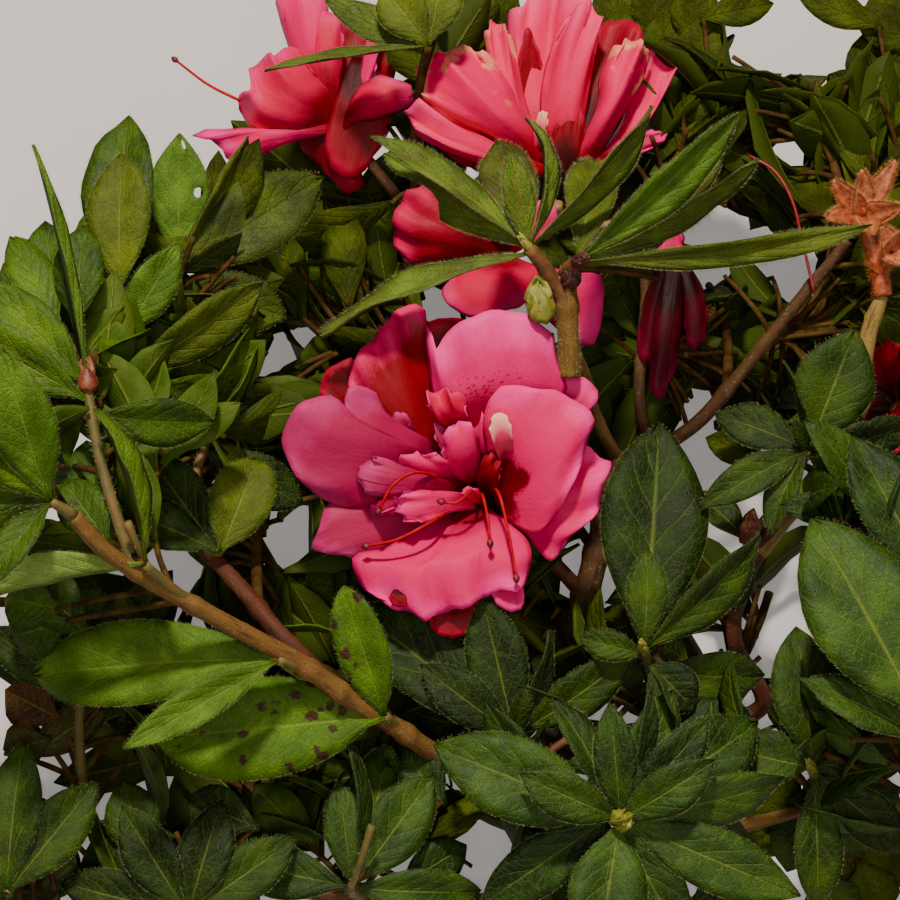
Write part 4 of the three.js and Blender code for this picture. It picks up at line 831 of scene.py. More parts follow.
class Finish:
    """A material whose nodes feed one shader."""

    def __init__(self, name, constants):
        self.material = bpy.data.materials.new(name)
        self.material.use_nodes = True
        self.tree = self.material.node_tree
        self.shader = self.tree.nodes["Principled BSDF"]
        for socket, value in constants.items():
            self.shader.inputs[socket].default_value = value

    def node(self, kind, settings, sockets, output=0):
        """Adds a node with its settings first and then the values or links of its sockets."""
        made = self.tree.nodes.new(kind)
        for setting, value in settings.items():
            if setting == "stops":
                self.set_stops(made.color_ramp, value)
            else:
                setattr(made, setting, value)
        for socket, value in sockets.items():
            self.feed(made.inputs[socket], value)
        return Link(self, made.outputs[output])

    def set_stops(self, ramp, stops):
        while len(ramp.elements) < len(stops):
            ramp.elements.new(0.5)
        for element, (place, colour) in zip(ramp.elements, stops):
            element.position = place
            element.color = colour

    def feed(self, socket, value):
        if isinstance(value, Link):
            self.tree.links.new(value.socket, socket)
        else:
            socket.default_value = value

    def mix(self, first, second, share):
        return self.node("ShaderNodeMix", {"data_type": "RGBA"}, {0: share, 6: first, 7: second}, 2)

    def ramp(self, value, stops):
        return self.node("ShaderNodeValToRGB", {"stops": stops}, {0: value})

    def place(self):
        return self.node("ShaderNodeTexCoord", {}, {}, "Object")

    def pattern(self):
        """The pattern place, as across and along."""
        place = self.node("ShaderNodeUVMap", {"uv_map": "pattern"}, {})
        return [self.node("ShaderNodeSeparateXYZ", {}, {0: place}, i) for i in (0, 1)]

    def vector(self, x, y, z=0):
        return self.node("ShaderNodeCombineXYZ", {}, {0: x, 1: y, 2: z})

    def noise(self, where, scale, detail=3):
        return self.node("ShaderNodeTexNoise", {}, {"Vector": where, "Scale": scale, "Detail": detail})

    def cells(self, where, scale, feature="F1"):
        sockets = {"Vector": where, "Scale": scale}
        return self.node("ShaderNodeTexVoronoi", {"feature": feature}, sockets, "Distance")

    def done(self, colour, height=None, depth=0.0002, roughness=None):
        self.feed(self.shader.inputs["Base Color"], colour)
        if roughness is not None:
            self.feed(self.shader.inputs["Roughness"], roughness)
        if height is not None:
            bump = self.node("ShaderNodeBump", {}, {"Strength": 1, "Distance": depth, "Height": height})
            self.feed(self.shader.inputs["Normal"], bump)
        return self.material


def leaf_finish(name, shade, light, vein, gloss, spots=0.0, shine=0.16):
    """A leaf's upper skin: sunken ribs in a finely wrinkled, softly hairy surface."""
    finish = Finish(name, {"Roughness": gloss, "Specular IOR Level": shine, "Subsurface Weight": 0.03,
                           "Subsurface Scale": 0.001})
    across, along = finish.pattern()
    where = finish.place()
    off = (across * 2 - 1).size()
    wander = finish.noise(where, 160, 2) * 0.35
    swell = (((along - off * 0.3 + wander * 0.16) * 6.5).repeat() * 2 - 1).size()
    side_rib = swell.between(0.84, 1) * (1 - off.between(0.5, 0.95))
    middle_rib = 1 - off.between(0.0, 0.07)
    cloud = finish.noise(where, 130, 3)
    grain = finish.noise(where, 2600, 3)
    net = 1 - finish.cells(where, 620, "DISTANCE_TO_EDGE").between(0.01, 0.1)
    tone = cloud * 1.1 - 0.25 + (1 - off) * 0.1 + (grain - 0.5) * 0.7
    colour = finish.mix(shade, light, tone.between(0.1, 0.9))
    colour = finish.mix(colour, vein, side_rib * 0.14)
    colour = finish.mix(colour, vein, net * 0.09)
    colour = finish.mix(colour, vein, middle_rib * (0.6 - along * 0.45))
    if spots:
        edge = (finish.noise(where, 700, 2) - 0.5) * 0.5
        speck = 1 - (finish.cells(where, 240) + edge).between(0.24, 0.34)
        blotch = finish.noise(where, 90, 2).between(0.46, 0.51)
        colour = finish.mix(colour, tint(56, 20, 22), speck * blotch * spots)
    height = (1 - swell * swell) * 0.5 - middle_rib * 0.8 - side_rib * 0.35 + grain * 0.4 - net * 0.35
    return finish.done(colour, height, 0.0002, cloud * 0.16 + gloss - 0.08)


def under_finish(name, shade, light):
    """A leaf's underside: paler and dull, with raised ribs."""
    finish = Finish(name, {"Roughness": 0.7, "Specular IOR Level": 0.12})
    across, along = finish.pattern()
    where = finish.place()
    off = (across * 2 - 1).size()
    rib = (((along - off * 0.27) * 7.5).repeat() * 2 - 1).size().between(0.8, 1) * (1 - off)
    middle_rib = 1 - off.between(0.02, 0.1)
    cloud = finish.noise(where, 150, 3)
    colour = finish.mix(shade, light, cloud.between(0.3, 0.7))
    colour = finish.mix(colour, tint(116, 118, 50), rib * 0.16 + middle_rib * 0.36)
    return finish.done(colour, rib * 0.5 + middle_rib + finish.noise(where, 2200, 2) * 0.4, 0.0003)


def petal_finish(name, throat, middle, rim, reach, step, rim_from):
    """A petal: deep at its claw, the throat's own deeper colour and painted shade deep in the throat, paler
    at its rim, with fine lengthwise veins.
    """
    finish = Finish(name + "_petal", {
        "Roughness": 0.55, "Specular IOR Level": 0.12, "Subsurface Weight": 0.1,
        "Subsurface Scale": 0.0015, "Subsurface Radius": (1.0, 0.2, 0.3)})
    across, along = finish.pattern()
    where = finish.place()
    off = (across * 2 - 1).size()
    veins = finish.noise(finish.vector((across - 0.5) * (60 - along * 26), along * 2.6), 1, 4)
    cloud = finish.noise(where, 110, 3)
    grain = finish.noise(where, 1500, 3)
    tone = along + off * 0.1 + (veins - 0.5) * 0.07 + (cloud - 0.5) * 0.44 + (grain - 0.5) * 0.08
    colour = finish.ramp(
        tone, [(reach - step, throat), (reach + step, middle), (rim_from, middle), (1.02, rim)])
    if name == "spent":
        stain = finish.noise(where, 150, 2).between(0.6, 0.68) * along.between(0.4, 0.6)
        colour = finish.mix(colour, tint(206, 150, 100), stain * 0.5)
    if name == "blotch":
        dot = 1 - finish.cells(finish.vector(across * 26, along * 34), 1).between(0.2, 0.5)
        patch = 1 - (across - 0.5).size().between(0.12, 0.34)
        patch = patch * (1 - (along - dot * 0.14).between(0.44, 0.62))
        colour = finish.mix(colour, tint(140, 0, 42), patch * 0.9)
    crease = finish.noise(finish.vector((across - 0.5) * 7, along * 2.2), 1, 3)
    return finish.done(colour, veins * 0.1 + crease * 0.35 + cloud * 0.6 + grain * 0.08, 0.0007,
                       cloud * 0.2 + 0.42)


def bark_finish(name, dark, middle, pale, cork=0.5):
    """Thin young bark: lengthwise streaks, small corky specks and grey scurf."""
    finish = Finish(name, {"Roughness": 0.7, "Specular IOR Level": 0.3})
    across, along = finish.pattern()
    turn = across * (2 * pi)
    ring_x = turn.sum("COSINE", turn)
    ring_y = turn.sum("SINE", turn)
    streak = finish.noise(finish.vector(ring_x * 3.2, ring_y * 3.2, along * 1.1), 2.2, 5)
    patch = finish.noise(finish.vector(ring_x, ring_y, along * 1.3), 1.1, 3)
    fleck = 1 - finish.cells(finish.vector(ring_x * 2.1, ring_y * 2.1, along * 5.2), 1.6).between(0.1, 0.26)
    tone = streak * 0.75 + patch * 0.75 - 0.25
    colour = finish.ramp(tone, [(0.24, dark), (0.48, middle), (0.66, middle), (0.86, pale)])
    colour = finish.mix(colour, pale, fleck * cork)
    scurf = finish.noise(finish.place(), 900, 4).between(0.56, 0.72)
    colour = finish.mix(colour, tint(140, 122, 92), scurf * cork * 0.5)
    return finish.done(colour, streak * 0.5 + fleck * 0.5 + scurf * 0.3, 0.0003)


def plain_finish(name, first, second, scale, roughness=0.55, constants=()):
    """Small parts: two close colours in a fine cloud."""
    finish = Finish(name, {"Roughness": roughness, **dict(constants)})
    cloud = finish.noise(finish.place(), scale, 3)
    return finish.done(finish.mix(tint(*first), tint(*second), cloud.between(0.3, 0.7)), cloud)


DULL = {"Specular IOR Level": 0.1}

# Small parts: two colours, the cloud's scale, and the roughness where it isn't the usual one
SMALL_FINISHES = {
    "green_stem": [(74, 72, 24), (104, 78, 32), 300, 0.7],
    "brown_stem": [(46, 30, 12), (80, 58, 26), 300, 0.8, DULL],
    "orange_stem": [(84, 44, 14), (116, 72, 24), 300, 0.7],
    "green_bud": [(96, 100, 24), (138, 128, 48), 500],
    "red_bud": [(84, 34, 18), (132, 70, 36), 500],
    "purple_bud": [(52, 22, 22), (88, 46, 36), 500],
    "hair": [(150, 152, 104), (130, 126, 84), 400],
    "filament": [(148, 0, 18), (178, 0, 30), 400, 0.55, DULL],
    "anther": [(80, 0, 20), (120, 30, 36), 400],
    "calyx": [(120, 40, 14), (172, 86, 40), 700],
    "pale_calyx": [(142, 66, 36), (186, 110, 72), 700],
    "red_style": [(110, 0, 14), (140, 4, 30), 700],
    "calyx_hair": [(176, 92, 44), (202, 132, 74), 700],
    "sawn_wood": [(176, 148, 102), (150, 118, 74), 900],
}
GREEN_STEM, BROWN_STEM, ORANGE_STEM = range(3)
GREEN_BUD, RED_BUD, PURPLE_BUD = range(3)
FILAMENT, ANTHER = range(2)
CALYX, PALE_CALYX, RED_STYLE, CALYX_HAIR = range(4)


def small_finishes(*names):
    return [plain_finish(name, *SMALL_FINISHES[name]) for name in names]


# Leaf greens, as shade and light, of old leaves and then of young ones, or of both alike
LEAF_GREENS = {
    "bright": [(34, 52, 2), (68, 94, 8), (50, 72, 3), (92, 118, 16)],
    "deep": [(20, 32, 1), (46, 66, 6), (30, 46, 2), (64, 86, 10)],
    "cool": [(22, 38, 5), (50, 76, 18), (32, 52, 8), (72, 98, 30)],
    "young": [(48, 54, 8), (86, 102, 30), (56, 70, 10), (100, 126, 36)],
    "spotted": [(46, 74, 4), (84, 118, 12), (52, 76, 6), (92, 124, 18)],
    # shade: a dull olive, painted shade for the dark shoots behind and below
    "shade": [(42, 50, 7), (86, 98, 24), (50, 60, 9), (96, 112, 30)],
    "dead": [(50, 28, 10), (88, 54, 22), (40, 40, 10), (74, 68, 20)],
    # deepest: a dull olive, painted shade for leaves deep in the bough
    "deepest": [(40, 45, 8), (84, 94, 24)],
    # light: a lighter green, partly paler leaves, partly painted light on leaves the lamps leave in shade
    "light": [(54, 78, 10), (98, 128, 38)],
    "olive": [(58, 68, 6), (98, 108, 22)],
    "pale": [(88, 108, 38), (130, 150, 74)],
}
SHARED_GREENS = ["deepest", "light", "olive", "pale"]
GLOSSY_GREENS = ["cool", "bright"]
# The shade and deepest veins are dimmed with their painted shade
VEINS = {"young": (150, 76, 40), "shade": (70, 70, 22), "deepest": (66, 62, 18)}
PALE_VEIN = (118, 126, 52)


@cache
def green_finishes(green, shared):
    """The old, the young and the underside finish of one green, and those that all share."""
    old_shade, old_light, young_shade, young_light = [tint(*c) for c in LEAF_GREENS[green]]
    vein = tint(*VEINS.get(green, PALE_VEIN))
    spots = 0.9 if green == "spotted" else 0.0
    gloss = 0.54 if green in GLOSSY_GREENS else 0.6
    # The shade green's undersides take its own dark colour, painted shade in place of a pale underside
    under_light = young_shade if green == "shade" else tint(76, 88, 30)
    return [
        leaf_finish(green + "_old", old_shade, old_light, vein, gloss, spots),
        leaf_finish(green + "_young", young_shade, young_light, vein, gloss, spots),
        under_finish(green + "_under", young_shade, under_light),
        *shared,
    ]


def shared_finishes():
    """The finishes that leaves of any shoot may take, in the order of SHARED_GREENS."""
    finishes = []
    for green in SHARED_GREENS:
        colours = [tint(*colour) for colour in (*LEAF_GREENS[green], VEINS.get(green, PALE_VEIN))]
        # The deepest finish is the painted shade of leaves deep in the bough
        shine = 0.06 if green == "deepest" else 0.16
        finishes.append(leaf_finish(green + "_leaf", *colours, 0.62, shine=shine))
    return finishes


# Master forms, as [share of the length, share of the width]
LEAF_SHAPE = [(0, 0.1), (0.05, 0.1), (0.12, 0.24), (0.22, 0.54), (0.34, 0.82), (0.46, 0.97), (0.55, 1),
              (0.66, 0.94), (0.77, 0.77), (0.87, 0.5), (0.95, 0.22), (1, 0.02)]
BROAD_SHAPE = [(0, 0.1), (0.05, 0.12), (0.12, 0.34), (0.22, 0.64), (0.34, 0.86), (0.46, 0.97), (0.55, 1),
               (0.66, 0.98), (0.77, 0.87), (0.87, 0.67), (0.95, 0.39), (1, 0.04)]
PETAL_SHAPE = [(0, 0.1), (0.12, 0.15), (0.3, 0.4), (0.48, 0.7), (0.64, 0.93), (0.78, 1), (0.9, 0.92),
               (0.97, 0.72), (1, 0.5)]
LOBE_SHAPE = [(0, 0.7), (0.3, 1), (0.6, 0.8), (0.85, 0.4), (1, 0.04)]
fine_leaf = Sheet(LEAF_SHAPE, 14, 6)
broad_leaf = Sheet(BROAD_SHAPE, 14, 6)
holed_leaf = Sheet(LEAF_SHAPE, 24, 12, holes=[(13, 10), (22, 8)])
plain_leaf = Sheet(LEAF_SHAPE, 8, 4)
far_leaf = Sheet(LEAF_SHAPE, 6, 2)
large_petal = Sheet(PETAL_SHAPE, 20, 24, 0.1)
small_petal = Sheet(PETAL_SHAPE, 12, 8, 0.1)
lobe = Sheet(LOBE_SHAPE, 6, 4)

plant_low, plant_high = [np.array(corner) / MM for corner in cad_box]

# The centre lines of all limbs and stems
lines = {}
for limb, (source, through, radii) in LIMBS.items():
    places = [spot(place) for place in through]
    if source:
        places.insert(0, lines[source[0]].at(source[1]))
    lines[limb] = curve_through(places)


def stem_line(source, tip):
    """A stem from its limb to the shoot's tip, leaving the limb along its own lie."""
    limb, along = source
    foot = lines[limb].at(along)
    end = spot(tip)
    reach = np.linalg.norm(end - foot)
    bend = foot + (end - foot) * STEM_BEND_AT + lines[limb].lie(along) * reach * STEM_LEAN
    return bow(foot, bend, end)


for shoot, (source, tip, *_) in SHOOTS.items():
    lines[shoot] = stem_line(source, tip)


# Bark relief: the ridges round a limb, and the height and reach of knots and leaf scars
RIDGE_COUNTS = (2, 3, 5, 8)
KNOT_HEIGHT, KNOT_REACH = 0.2, 1.7
SCAR_HEIGHT, SCAR_REACH = 0.16, 0.55
SCAR_GAPS = [3, 8]


def bark_relief(name, dice):
    """Ridges, swellings where stems leave, and leaf scars, as a factor on the radius."""
    length = lines[name].length
    knots = [source[1] * length for source, *_ in SHOOTS.values() if source[0] == name]
    knots += [source[1] * length for source, *_ in LIMBS.values() if source and source[0] == name]
    scars = []
    mark = dice.roll(2, 6)
    while mark < length:
        turn = GOLDEN_ANGLE * len(scars) + dice.roll(-GOLDEN_STRAY, GOLDEN_STRAY)
        scars.append((mark, radians(turn)))
        mark += dice.roll(*SCAR_GAPS)
    ridges = [(count, dice.roll(0.05, 0.3), dice.roll(*PHASES), dice.roll(0.012, 0.03))
              for count in RIDGE_COUNTS]

    def relief(angle, distance):
        factor = 1 + 0 * angle + 0 * distance
        for count, pace, phase, depth in ridges:
            factor = factor + depth * np.sin(count * angle + pace * distance + phase)
        for knot in knots:
            factor = factor + KNOT_HEIGHT * np.exp(-((distance - knot) / KNOT_REACH) ** 2)
        for scar, turn in scars:
            apart = (angle - turn + pi) % (2 * pi) - pi
            factor = factor + SCAR_HEIGHT * np.exp(
                -((distance - scar) / SCAR_REACH) ** 2 - (apart / SCAR_REACH) ** 2)
        return factor

    return relief


def limb_radius(name):
    foot, tip = LIMBS[name][2]
    ease = 5 / lines[name].length

    def radius(along):
        left = min(1, (1 - along) / ease)
        full = foot + (tip - foot) * along
        return full if name == "top_stub" else SHOOT_RADIUS + (full - SHOOT_RADIUS) * left ** 0.6

    return radius


# Barks: the limbs in each, its dark, middle and pale colours, and how corky it is
BARKS = {
    "pale_bark": (["spent_limb"], (84, 56, 22), (138, 112, 56), (170, 150, 90), 0.4),
    "tan_bark": (["left_limb", "top_limb", "low_right_limb"],
                 (72, 34, 16), (108, 76, 32), (140, 118, 62), 0.45),
    "red_bark": (["red_limb", "right_limb", "bloom_limb"], (34, 10, 2), (76, 36, 10), (140, 104, 48), 0.3),
    "hairy_bark": (["top_stub"], (62, 28, 8), (104, 76, 24), (142, 120, 54), 0.3),
    "brown_bark": (["main_limb", "low_left_limb", "top_left_limb", "upper_right_limb", "back_limb"],
                   (40, 24, 10), (80, 52, 24), (116, 90, 50), 0.7),
}


def make_limbs():
    for bark, (limbs, dark, middle, pale, cork) in BARKS.items():
        finish = bark_finish(bark, tint(*dark), tint(*middle), tint(*pale), cork)
        for name in limbs:
            pile = Pile()
            relief = bark_relief(name, Dice(len(name) * 7))
            add_tube(pile, lines[name], limb_radius(name), LIMB_MESH, relief)
            pile.piece(name + "_bark", [finish], "bark", [name])


# The sawn face: its sides and depth, and its rings from the rim in, as inset and lift
CUT_SIDES = 32
CUT_DEPTH = 0.8
CUT_INSET = 0.6
CUT_RINGS = [(0.16, -0.05), (0.5, 0.06), (0.62, -0.22)]


def make_cut_end():
    """The pale sawn face at the bough's foot: bark rim, wood, and the pith's small hollow."""
    foot, radius = lines["main_limb"].at(0) * MM, limb_radius("main_limb")(0) * MM
    out = -lines["main_limb"].lie(0)
    clear_selection()
    bpy.ops.mesh.primitive_cylinder_add(vertices=CUT_SIDES, radius=radius, depth=CUT_DEPTH * MM)
    cut = bpy.context.object
    bpy.ops.object.mode_set(mode="EDIT")
    grid = bmesh.from_edit_mesh(cut.data)
    for face in grid.faces:
        face.select = face.normal.z > 0.9
    grid.select_flush_mode()
    bmesh.update_edit_mesh(cut.data)
    for share, lift in CUT_RINGS:
        bpy.ops.mesh.inset(thickness=radius * share * CUT_INSET, depth=lift * MM)
    bpy.ops.object.mode_set(mode="OBJECT")
    cut.rotation_mode = "QUATERNION"
    cut.rotation_quaternion = Vector(out).to_track_quat("Z", "Y")
    cut.location = foot
    bpy.ops.object.transform_apply(location=True, rotation=True, scale=True)
    cut.name = cut.data.name = "cut_end"
    cut.data.materials.append(*small_finishes("sawn_wood"))
    settle(cut, [])


def pressed(points):
    """A leaf's points, pressed on the ground where it reaches it, or none if too deep."""
    low = points[:, 2].min()
    if low < -DEEPEST_PRESS:
        return None
    if low < 0:
        points = points.copy()
        points[:, 2] = np.maximum(points[:, 2], 0.12 + 0.04 * points[:, 2] / DEEPEST_PRESS)
    return points


BLOOM_SPACES = [(spot(throat), heading(*faces), reach * BLOOM_VIEW)
                for throat, faces, _, reach in BLOOMS.values()]


def clear_of_blooms(base, axis, length):
    """Whether a leaf by rule stays out of the space before every bloom."""
    tip = base + axis * length
    for throat, front, reach in BLOOM_SPACES:
        away = tip - throat
        height = np.dot(away, front)
        if height >= 0 and np.linalg.norm(away - front * height) <= reach:
            return False
    return True


def seen_in(points, ovals):
    """Which of the points the camera sees in which of the ovals on the face."""
    across, up = seen_at(points)
    middle_x, middle_y, half_x, half_y = np.array(ovals, dtype=float).T
    aside = (across[:, None] - middle_x) / half_x
    above = (up[:, None] - middle_y) / half_y
    return aside ** 2 + above ** 2 < 1


def hides_bloom(points):
    """Whether a leaf by rule would stand before a bloom, as the frame shows it."""
    near = (points - FACE_MIDDLE) @ NEAR
    return bool((seen_in(points, BLOOM_VIEWS) & (near[:, None] > BLOOM_NEARNESS)).any())


def leaves_sky(points):
    """Whether a leaf or twig by rule keeps out of the open views between the leaves."""
    return not seen_in(points, OPEN_VIEWS).any()


def whorl(line, count, dice, lengths):
    """Leaves by rule: the golden angle round the tip, opening wider with age."""
    axis = line.lie(1)
    start = square_to(axis, NEAR)
    leaves = []
    for i in range(count):
        age = (i + 0.5) / count
        out = turned(start, axis, GOLDEN_ANGLE * i + dice.roll(-GOLDEN_STRAY, GOLDEN_STRAY))
        stray = dice.roll(-SPLAY_STRAY, SPLAY_STRAY)
        direction = leant(axis, out, YOUNG_SPLAY + (OLD_SPLAY - YOUNG_SPLAY) * age + stray)
        length = dice.roll(*lengths)
        turn = dice.roll(-LEAF_ROLL, LEAF_ROLL)
        leaves.append((line.at(1 - OLD_LEAF_DROP * age), direction, square_to(direction, axis, turn),
                       length, LEAF_SLENDERNESS * length, age))
    return leaves


def add_sheet_hairs(pile, sheet, points, axis, count, seed, reach=1.0, stout=1.0, finish=0):
    """Hairs along both margins of a leaf or lobe, and shorter ones lying over its face."""
    random = np.random.default_rng(seed)
    along = random.uniform(0.08, 0.99, count)
    side = np.where(random.random(count) < 0.5, -1.0, 1.0)
    rim = sheet.on(points, side, along)
    ways = units(rim - sheet.on(points, side * 0.8, along), NO_WIDTH)
    ways = ways + axis * random.uniform(0.3, 1.2, count)[:, None] + random.normal(0, 0.25, (count, 3))
    add_hairs(pile, rim, ways, reach * random.uniform(0.3, 0.9, count), 0.02 * stout, finish)
    across = random.uniform(-0.9, 0.9, count)
    along = random.uniform(0.1, 0.95, count)
    roots = sheet.on(points, across, along)
    ahead = sheet.on(points, across, np.minimum(along + 0.02, 1)) - roots
    raised = units(np.cross(sheet.on(points, across + 0.05, along) - roots, ahead), NO_WIDTH)
    ways = (units(ahead, NO_WIDTH) + raised * random.uniform(0.15, 0.6, count)[:, None]
            + random.normal(0, 0.2, (count, 3)))
    add_hairs(pile, roots, ways, reach * random.uniform(0.2, 0.5, count), 0.015 * stout, finish)


def add_line_hairs(pile, line, radius, count, reach=1.0, finish=0):
    """Hairs that stand out all round a stem."""
    random = np.random.default_rng(int(line.length * 100))
    along = random.uniform(0, 1, count)
    lie = unit(line.points[-1] - line.points[0])
    out = random.normal(0, 1, (count, 3))
    out = units(out - (out @ lie)[:, None] * lie)
    roots = line.at(along) + out * radius * 0.9
    add_hairs(pile, roots, out + lie * random.uniform(0.2, 0.9, count)[:, None],
              reach * random.uniform(0.5, 1.3, count), 0.032, finish)


# Places over a leaf, as across and along, at which it is tested against the open views
LEAF_TESTS = [grid.ravel() for grid in np.meshgrid(np.linspace(-1, 1, 5), np.linspace(0, 1, 11))]
NO_LOOKS = {}
MIDDLE_AGE = 0.5
AS_ITS_AGE = 0.85
SHADE_BELOW = -12
STOUT_STEMS = {"top_left": 1.7, "top_right": 1.6}
OLD, YOUNG, UNDERSIDE, PAINTED_SHADE, LIGHT_AND_PAINTED_LIGHT, OLIVE, PALE = range(7)

# Hairs: their reach on leaves, and how many on a millimetre of leaf and of stem
LEAF_HAIR = 1.1
LONG_HAIR = 1.6
LEAF_HAIRS = 12
TOP_LEAF_HAIRS = 22
STEM_HAIRS = 9
STALK_HAIRS = 6

# Which piece holds the hairs of which shoots, with the other shoots in the lowest piece
HAIR_PIECES = {
    "left_hairs": ["left_front", "left_middle", "limb_outer", "limb_middle", "limb_fork", "left_under",
                   "left_edge", "red_spur", "upper_left", "back_left", "middle_left"],
    "top_hairs": ["top_left", "top_right", "top_leaf"],
    "right_hairs": ["right", "bud_spur", "right_front", "right_side", "right_low", "centre_right"],
}


def hair_piece(shoot):
    for piece, shoots in HAIR_PIECES.items():
        if shoot in shoots:
            return piece
    return "low_hairs"


BUD_SCALES = 11


class Foliage:
    """The leaves of every shoot in a pile of its own, and their stems, buds and hairs."""

    def __init__(self):
        self.leaves = {name: Pile() for name in SHOOTS}
        self.stems = Pile()
        self.buds = Pile()
        self.hairs = {name: Pile() for name in [*HAIR_PIECES, "low_hairs", "stem_hairs"]}
        self.count = 0

    def add_leaf(self, sheet, shoot, leaf, dice, hairy=0, looks=NO_LOOKS, by_rule=False):
        """Adds a leaf in its finish, unless it would lie too deep or close an open view."""
        base, axis, face, length, width, age = leaf
        bends = {"fold": LEAF_FOLD + dice.roll(-6, 6), "arch": LEAF_ARCH + dice.roll(-8, 10),
                 "curl": dice.roll(-6, 16), "twist": dice.roll(-16, 16), "ripple": 0.03 * width,
                 "ripples": dice.roll(1.5, 3.5), "phase": dice.roll(*PHASES), **looks}
        tone = bends.pop("tone", None)
        points = pressed(bent(sheet, base, axis, face, length, width, **bends))
        if points is None or by_rule and not leaves_sky(sheet.on(points, *LEAF_TESTS)):
            return
        upper = YOUNG if age < MIDDLE_AGE else OLD
        if dice.roll(0, 1) > AS_ITS_AGE:
            upper = OLD + YOUNG - upper
        if tone is not None:
            upper = tone
        # Leaves deep in the bough take the deepest green, a painted shade
        elif not hairy and np.dot(base - FACE_MIDDLE, NEAR) < SHADE_BELOW:
            upper = PAINTED_SHADE
        finish = np.where(sheet.under, PALE if tone == PALE else UNDERSIDE, upper)
        self.leaves[shoot].add(points, sheet.faces, sheet.places, finish)
        self.count += 1
        if hairy:
            reach = LONG_HAIR if shoot in STOUT_STEMS else LEAF_HAIR
            add_sheet_hairs(self.hairs[hair_piece(shoot)], sheet, points, axis, hairy, self.count, reach)

    def add_stem(self, line, radius, dice, finish, hairy=0):
        """Adds a slim stem that tapers and sways a little, with so many hairs a millimetre."""
        swell = 0.1 * dice.roll(*PHASES)
        add_tube(self.stems, line, lambda along: radius * (1.15 - 0.25 * along + 0.04 * sin(
            line.length * along * 0.8 + swell)), STEM_MESH, finish=finish)
        if hairy:
            add_line_hairs(self.hairs["stem_hairs"], line, radius, int(line.length * hairy))

    def add_bud(self, place, axis, radius, length, dice, finish):
        """Overlapping scales round the axis, closing towards the tip."""
        start = square_to(axis, NEAR + 0.3 * ACROSS)
        for i in range(BUD_SCALES):
            share = i / BUD_SCALES
            out = turned(start, axis, GOLDEN_ANGLE * i)
            base = place + axis * length * (0.42 * share - 0.2) + out * radius * (0.62 - 0.42 * share)
            way = leant(axis, out, 26 - 20 * share)
            points = bent(lobe, base, way, square_to(way, out), length * (0.62 + 0.1 * dice.roll(0, 1)),
                          radius * 1.7, fold=-34, arch=58, camber=-0.2, thickness=0.4)
            self.buds.add(points, lobe.faces, lobe.places, finish)

    def make_pieces(self):
        """Makes the piles into pieces, each in its finishes."""
        shared = tuple(shared_finishes())
        for name, pile in self.leaves.items():
            green = SHOOTS[name][4]
            pile.piece(name + "_leaves", green_finishes(green, shared), "leaf", [name])
        self.stems.piece("stems", small_finishes("green_stem", "brown_stem", "orange_stem"), "bark")
        self.buds.piece("tip_buds", small_finishes("green_bud", "red_bud", "purple_bud"), "leaf")
        hair = small_finishes("hair")
        for name, pile in self.hairs.items():
            pile.piece(name, hair, "leaf")


# Finer twigs, on shoots that show and on dark ones: how many, how far past the solids' box
# of the shoot they may reach, their leaf, its lengths, and how near it may come
TWIG_LENGTHS = [10, 26]
TWIG_RADIUS = SHOOT_RADIUS * 0.55
TWIG_STRAY = 30
TWIG_SPLAYS = [25, 90]
TWIG_BEND = 2
TWIG_LEAVES = 7
SHOWN_TWIGS = {"count": 26, "margin": 4, "leaf": plain_leaf, "lengths": [20, 33], "depth": -9}
SHADE_TWIGS = {"count": 60, "margin": 11, "leaf": far_leaf, "lengths": [22, 38], "depth": 10}

